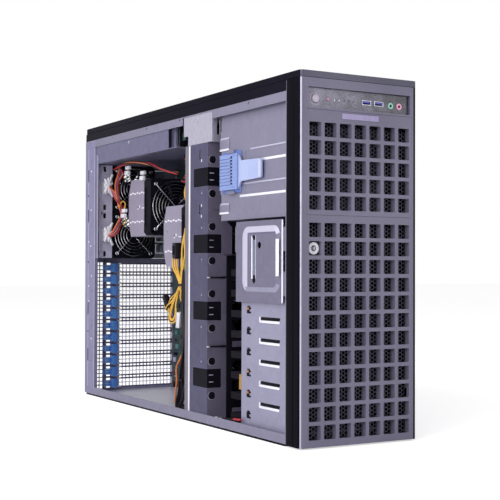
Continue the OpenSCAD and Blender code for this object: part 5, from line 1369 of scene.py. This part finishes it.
    def bands(self) -> None:
        """Adds painted highlights on the slopes of the drawn bands on the bay cage, and its two lanced tabs
        with painted highlights along their edges.
        """
        low, _ = corners("bay_cage")
        shape = Shape()
        for z, end in ((315.6, -196.0), (360.6, -236.0)):
            shape.box((-80.1, low.y + 2, z - 0.4), (-79.2, end, z + 2.9), PAINTED_HIGHLIGHT, 0.3)
            shape.box((-80.05, low.y + 2, z + 16.4), (-79.2, end + 12, z + 18.6), PALE_STEEL_AND_HIGHLIGHT, 0.3)
        for z0, z1 in ((381.0, 399.0), (294.0, 309.0)):
            shape.box((-81.2, -168.0, z0 + 2.5), (-79.6, -141.0, z1 - 1.5), STEEL, 0.6)
            shape.box((-81.8, -167.0, z0), (-79.6, -141.5, z0 + 2.8), PAINTED_HIGHLIGHT, 0.7)
            shape.box((-81.4, -167.0, z1 - 2.2), (-79.6, -143.0, z1), PALE_STEEL_AND_HIGHLIGHT, 0.5)
        shape.box((-84.5, -147.0, 430.0), (-80.0, -128.0, 436.6), BLACK, 0.6)
        shape.box((-84.5, -126.0, 432.0), (-81.0, -112.0, 437.0), BLACK, 0.6)
        shape.finish_piece("bay_bands", "chassis", slot="bright_steel")
        cage = corners("drive_cage")
        gold = Shape()
        gold.box((cage[0].x + 0.2, -201.2, 57.5), (cage[0].x + 4, -195.4, 78.0), GOLD, 0.6)
        gold.finish_piece("gold_strip", "chassis", slot="port_metal")


@dataclass
class Supplies:
    """The two supplies in their cage, with their handles and release tabs."""

    def build(self) -> None:
        """Builds the supplies."""
        dress("psu_cage", CAGE_STEEL, 0.3)
        for number in (1, 2):
            dress(f"power_supply_{number}", REAR_STEEL, 0.3, self._coat)

    @staticmethod
    def _coat(_: bmesh.types.BMFace, middle: Vector) -> Finish | None:
        """Colours what stands behind the supply's rear face: black handle, red tab."""
        rear = corners("rear_panel")[1].y
        if middle.y <= rear + 1.2:
            return None
        side = 1 if middle.x > 0 else -1
        return SUPPLY_RED if abs(middle.x - side * 40) > 24 and middle.z < 415 else BLACK


@dataclass
class Board:
    """The main board with its sockets and small parts, and the power board."""

    chips: int = 34
    cans: int = 16
    rear_chips: int = 13
    board: tuple[Vector, Vector] = field(default_factory=lambda: corners("motherboard"))

    def build(self) -> None:
        """Builds the board and what stands on it."""
        dress("motherboard", BOARD, 0.1)
        dress("board_sockets", BLACK, 0.15)
        dress("power_board", BOARD, 0.12,
              lambda f, m: None if abs(f.normal.x) > 0.9 or f.calc_area() > 2500 else BLACK)
        self.small_parts()

    def small_parts(self) -> None:
        """Adds rows of chips, coils and capacitors on the open strips of the board."""
        low = self.board[0]
        shape = Shape()
        face, y0 = low.x, low.y + 3
        for k in range(self.chips):
            z = low.z + 8 + k * 11.2
            wide = (3.0, 5.5, 2.2, 7.0)[k % 4]
            shape.box((face - 1.2, y0 + (k * 7) % 5, z), (face + 0.2, y0 + (k * 7) % 5 + wide, z + 4.4),
                      (BLACK, BRIGHT, DARK_DRIVE)[k % 3], 0.15)
        for k in range(self.cans):
            y, z = y0 + 13 + (k % 2) * 6, low.z + 14 + k * 23.0
            shape.rod((face - 7.5, y, z), (face + 0.2, y, z), 3.0, BRIGHT, sides=16)
        for k in range(self.rear_chips):
            z, y = 14 + k * 12.2, 305 + (k * 11) % 17
            shape.box((face - 2.4, y, z), (face + 0.2, y + 7 + (k * 5) % 7, z + 5 + (k * 3) % 6),
                      (TEAL, DARK_DRIVE, TEAL, PALE_STEEL_AND_HIGHLIGHT, BLACK)[k % 5], 0.3)
        shape.finish_piece("board_parts", "chassis", slot="board_green")


@dataclass
class Harness:
    """The leads of the supplies, the rear fans and the front."""

    x: float = -62.0
    tie: Point = (-62.0, 16.0, 194.5)

    def build(self) -> None:
        """Builds the looms."""
        self.supply_loom()
        self.loom_plugs()
        self.floor_cables()
        self.fan_loom()
        self.coils()

    def supply_loom(self) -> None:
        """Builds the yellow leads from the supplies through the tie, and their loops below it."""
        x = self.x
        loom = Loom(1.35)
        loom.bundle([(x, -12, 372), (x, -9, 356), (x, -1, 344), (x, 3.5, 332), (x, -2, 319), (x, -11, 304),
                     (x, -9, 286), (x - 1, 1, 271), (x - 1, 8, 254), (x, 11.5, 240), (x, 12.5, 224),
                     (x, 14, 208), self.tie], [YELLOW, YELLOW, LEAD_BLACK], 1.3, 0.3)
        loom.lead([(x - 2, -1, 280), (x - 3, 0, 262), (x - 3, -2, 240), (x - 3, 2, 228), (x - 2, 9, 212),
                   self.tie], YELLOW)
        for y in (-1.0, 1.2, 3.4):
            loom.lead([(x, y, 263), (x, y + 0.5, 244), (x, y, 226), (x + 2, y, 208)], LIME)
        for k, finish in enumerate((YELLOW, YELLOW, YELLOW, LEAD_BLACK, YELLOW)):
            start = (x - 5 + 2.4 * k, 35 - 2.6 * k, 236)
            loom.lead([start, (start[0], start[1] - 0.6, 222), (x - 3 + 1.4 * k, 25 - 1.5 * k, 208),
                       (x - 2 + k, 18 - k, 194), (x - 3 + k, 20 - k, 186)], finish)
        for k, finish in enumerate((YELLOW, LEAD_BLACK, YELLOW)):
            loom.lead([(x - 2 + k, 19 - k, 192), (x - 3, 28 + k, 180), (x - 4, 42 + k, 168 + k * 2),
                       (x - 5 + k, 52 + k, 163 - k * 2), (x - 5 + k, 58 - 2 * k, 158 - k * 2),
                       (x - 5 + k, 62, 162 - k * 3)], finish)
        for k, finish in enumerate((YELLOW, LEAD_BLACK, YELLOW, YELLOW)):
            wide = 1.8 * k
            loom.lead([(x - 1, 18, 192), (x - 2, 24, 178), (x - 2, 30, 164), (x - 3, 27 + k, 150),
                       (x - 3, 29 + k, 141 + wide), (x - 4, 36, 136.5 + wide), (x - 5, 46 - k, 139 + wide),
                       (x - 5, 47 - wide, 150), (x - 4, 38 - k, 166), (x - 3, 26, 180), (x - 1, 17, 194)],
                      finish)
        loom.lead([self.tie, (x, 17, 184), (x, 18, 174), (x + 4, 17, 166)], YELLOW)
        loom.finish_piece("supply_loom", ["wiring"])

    def loom_plugs(self) -> None:
        """Builds the plugs, the ties and the white connector of the loom."""
        x, y, z = self.tie
        plugs = Shape()
        plugs.box((x - 6, 25, 234), (x + 9, 36, 258.5), LEAD_BLACK, 0.8)
        plugs.box((x - 6.8, 27, 240), (x - 5.8, 30, 254), BLACK, 0.3)
        plugs.box((x - 6.8, 31.5, 240), (x - 5.8, 34.5, 254), BLACK, 0.3)
        plugs.rod((x - 1, y, z + 1.6), (x - 1, y, z - 1.6), 5.6, LEAD_BLACK, sides=24, soften=0.6)
        plugs.box((x - 3, y - 9, z - 1.2), (x - 1, y - 4, z + 1.2), LEAD_BLACK, 0.4)
        for k in range(4):
            across, up = 66 - k * 3.2, 174 - k * 4.2
            plugs.rod((x - 6, across, up), (x + 2, across, up), 4.4, LEAD_BLACK, sides=8)
        plugs.rod((x - 3, 15, 153), (x - 2, 20, 130), 4.8, WHITE, sides=4, soften=0.6)
        plugs.rod((x - 5.5, 18, 149), (x - 4.5, 21, 136), 2.2, BUTTON, sides=8)
        plugs.rod((x - 1, 14, 53), (x - 1, 14, 49), 5.4, LEAD_BLACK, sides=20, soften=0.5)
        plugs.box((x - 2, 38, 38), (x + 8, 44, 46), LEAD_BLACK, 0.6)
        plugs.finish_piece("loom_plugs", "chassis", slot=SLOTS["wiring"])

    def floor_cables(self) -> None:
        """Builds the black leads that run from the tie down to the floor, with one orange lead."""
        x = self.x
        loom = Loom(1.5)
        loom.bundle([(x + 3, 5, 230), (x + 2, 6, 210), (x + 2, 7, 190), (x + 2, 8, 166), (x + 1, 7, 140),
                     (x, 4, 118), (x, 5, 92), (x - 1, 10, 68), (x - 1, 13, 50), (x - 1, 15, 32),
                     (x - 2, 19, 18), (x + 2, 26, 9), (x + 14, 34, 7)], [LEAD_BLACK] * 6, 3.8, 0.4, 0.2)
        loom.bundle([(x + 1, 4, 40), (x, 8, 22), (x - 1, 12, 11), (x + 8, 6, 7)], [LEAD_BLACK] * 3, 2.6, 0.3)
        loom.lead([(x + 2, 10, 96), (x - 2, 14, 84), (x - 4, 23, 68), (x - 4, 22, 50), (x - 4, 26, 30),
                   (x - 3, 29, 16)], ORANGE)
        loom.lead([(x + 1, 8, 130), (x, 6, 110), (x + 2, 8, 84), (x, 12, 60)], RED)
        loom.finish_piece("floor_leads")

    def fan_loom(self) -> None:
        """Builds the thin leads from the rear fans' star clips, up and forward under the supplies."""
        bracket = corners("exhaust_bracket")
        x, y = bracket[0].x + 9.4, bracket[0].y - 7
        star = Shape()
        for z in (278.3, 361.8):
            for sx, sz in ((-5, 11), (9, 19), (-5, -13), (10, -19), (-6, 1), (2, 13), (3, -13), (9, 4)):
                star.rod((x, y - 0.6, z), (x + sx, y - 0.2, z + sz), 2.8, WHITE, tip=2.2, sides=10)
            star.rod((x, y - 1.4, z), (x, y + 0.6, z), 7.0, WHITE, sides=20)
        for x0, y0, z0 in ((-62, y - 66, 384), (-58, y - 118, 372), (-58, y - 42, 313)):
            star.box((x0, y0, z0 - 8), (x0 + 5, y0 + 14, z0 - 1), WHITE, 0.6)
            star.box((x0, y0 - 3, z0 + 1), (x0 + 5, y0 + 11, z0 + 7), WHITE, 0.6)
        star.finish_piece("fan_clips", "chassis", slot="button_white")
        x += 2.1
        loom = Loom(1.0)
        for k, finish in enumerate((ORANGE, RED, LEAD_BLUE, ORANGE, LEAD_BLACK, RED)):
            d = 1.9 * k
            loom.lead([(x - 2 + d / 2, y - 1, 358 + d / 2), (x + 6, y - 8, 352 - d),
                       (x + 11 + d / 3, y - 12 - d / 2, 338 - d), (x + 12 + d, y - 14, 326),
                       (x + 16 - d / 3, y - 16 - d, 312 - d / 2), (x + 12 + d / 2, y - 14, 300),
                       (x + 7 + d / 2, y - 12, 290 - d), (x + 2, y - 5, 279 - d / 2), (x - 4, y - 1, 276)],
                      finish)
            loom.lead([(x + 14 + d / 2, y - 16, 322), (x + 9 + d / 2, y - 13, 344),
                       (x + 7 + d, y - 12, 362 + d), (x + 11 + d, y - 14 - d, 380),
                       (x + 9, y - 26 - d, 390 - d / 2)], finish)
        for points in (((13, -16, 325), (20, -18, 334), (21, -20, 322), (15, -17, 314)),
                       ((15, -17, 318), (21, -20, 308), (23, -20, 298), (19, -18, 294))):
            loom.lead([(x + across, y + along, up) for across, along, up in points], YELLOW)
        loom.bundle([(x + 4, y - 16, 388), (x + 2, y - 52, 393), (x + 2, y - 90, 393.5),
                     (x + 3, y - 130, 391), (x + 3, y - 170, 384), (x + 6, y - 205, 374),
                     (x + 14, y - 240, 366)],
                    [ORANGE, LEAD_BLACK, RED, LEAD_BLACK], 2.0, 1.2)
        loom.finish_piece("rear_fan_leads")

    def coils(self) -> None:
        """Builds the wound leads over the front of the power board."""
        loom = Loom(0.85)
        turns = ((4, RED), (7.5, RED), (11, RED), (14.5, LEAD_BLACK), (16.5, RED))
        angles = [step * 0.42 + 3.6 for step in range(-4, 5)]
        for k, (radius, finish) in enumerate(turns):
            loom.lead([(-50 - k, 22 + radius * cos(a) * 1.3, 368 + radius * sin(a)) for a in angles], finish)
        loom.bundle([(-44, 40, 392), (-48, 30, 384), (-46, 14, 380), (-48, 4, 366), (-46, 2, 346)],
                    [RED, LEAD_BLACK, ORANGE], 3.0, 1.0)
        loom.finish_piece("front_leads")


@dataclass
class Studio:
    """The camera, the lamps, the floor and the background."""

    lens: float = 81.03
    eye: Point = (-818.6, -1514.3, 219.2)
    ahead: Point = (0.497, 0.868, 0.0167)
    roll: float = 0.186
    world: float = 0.45
    floor_glow: float = 0.55
    lamps: tuple[tuple[str, Point, Point, tuple[float, float], float], ...] = (
        ("key", (-1.9, -1.6, 1.9), (0, 0, 0.25), (1.6, 1.6), 20),
        ("open_side", (-2.3, 0.5, 0.9), (0, 0.1, 0.25), (1.5, 1.2), 10),
        ("floor_fill", (-1.3, 0.3, 1.6), (-0.02, 0.25, 0.05), (0.8, 0.8), 7),
        ("slot_fill", (-2.0, -1.0, 0.6), (-0.05, 0.3, 0.15), (0.9, 0.9), 9),
        ("front_sheen", (1.45, -2.6, 0.55), (0, -0.36, 0.23), (1.3, 1.6), 11),
        ("corner_line", (-1.75, -1.5, 0.3), (-0.09, -0.36, 0.23), (0.16, 1.4), 7),
    )

    def camera(self) -> None:
        """Sets the camera."""
        data = bpy.data.cameras.new("camera")
        data.sensor_width, data.lens, data.clip_end = 36.0, self.lens, 50.0
        camera = bpy.data.objects.new("camera", data)
        ahead = Vector(self.ahead).normalized()
        right = ahead.cross(Vector((0, 0, 1))).normalized()
        up = right.cross(ahead)
        turn = Matrix((right, up, -ahead)).transposed() @ Matrix.Rotation(radians(self.roll), 3, "Z")
        camera.matrix_world = Matrix.Translation(Vector(self.eye) * MM) @ turn.to_4x4()
        bpy.context.scene.collection.objects.link(camera)
        bpy.context.scene.camera = camera

    def build(self) -> None:
        """Builds the floor, the background and the lamps."""
        bpy.context.scene.view_settings.view_transform = "Standard"
        self.backdrop()
        self.floor()
        for values in self.lamps:
            self.lamp(*values)

    def backdrop(self) -> None:
        """Makes the world white to the eye and a plain soft light to the object."""
        world = bpy.data.worlds.new("studio")
        bpy.context.scene.world = world
        world.use_nodes = True
        tree = world.node_tree
        tree.nodes.clear()
        nodes = Nodes(tree)
        path = nodes.add("LightPath")
        seen = nodes.math("MAXIMUM", path.outputs["Is Camera Ray"], path.outputs["Is Transmission Ray"])
        strength = nodes.add("MapRange", {"Value": seen, "To Min": self.world, "To Max": 1.0})
        light = nodes.add("Background", {"Color": (1, 1, 1, 1), "Strength": strength.outputs["Result"]})
        out = nodes.add("OutputWorld")
        tree.links.new(light.outputs[0], out.inputs[0])

    def floor(self) -> None:
        """Makes the pale floor, seen as white away from the object's shadow."""
        bm = bmesh.new()
        bmesh.ops.create_grid(bm, x_segments=1, y_segments=1, size=12.0)
        mesh = bpy.data.meshes.new("floor")
        bm.to_mesh(mesh)
        bm.free()
        floor = bpy.data.objects.new("floor", mesh)
        floor.location.z = CAD_BOX[0][2] - 0.0005
        bpy.context.scene.collection.objects.link(floor)
        material = bpy.data.materials.new("floor")
        material.use_nodes = True
        nodes = Nodes(material.node_tree)
        shader = material.node_tree.nodes["Principled BSDF"]
        shader.inputs["Base Color"].default_value = (0.93, 0.93, 0.94, 1)
        shader.inputs["Roughness"].default_value = 0.9
        shader.inputs["Emission Color"].default_value = (1, 1, 1, 1)
        seen = nodes.math("MULTIPLY", nodes.add("LightPath").outputs["Is Camera Ray"], self.floor_glow)
        material.node_tree.links.new(seen, shader.inputs["Emission Strength"])
        mesh.materials.append(material)

    @staticmethod
    def lamp(name: str, place: Point, aim: Point, size: tuple[float, float], watts: float) -> None:
        """Adds a soft box.

        Args:
            name: Its name.
            place: Where it hangs, in metres.
            aim: What it faces, in metres.
            size: Its width and height in metres.
            watts: Its power.
        """
        data = bpy.data.lights.new(name, "AREA")
        data.shape, data.size, data.size_y, data.energy = "RECTANGLE", size[0], size[1], watts
        lamp = bpy.data.objects.new(name, data)
        facing = (Vector(aim) - Vector(place)).to_track_quat("-Z", "Y")
        lamp.matrix_world = Matrix.Translation(place) @ facing.to_matrix().to_4x4()
        bpy.context.scene.collection.objects.link(lamp)


def main() -> None:
    """Builds the studio and every assembly of the server, in order."""
    logging.basicConfig(level=logging.INFO, format="%(message)s")
    studio = Studio()
    studio.camera()
    for assembly in (Bezel(), ControlPanel(), Shell(), Cooling(), Bays(), Supplies(), Board(), Harness()):
        assembly.build()
    studio.build()
    for name in frame["nodes"]:
        if f"{name}_dressed" not in bpy.data.objects:
            log.info("kept as packed: %s", name)


if __name__ == "__main__":
    main()
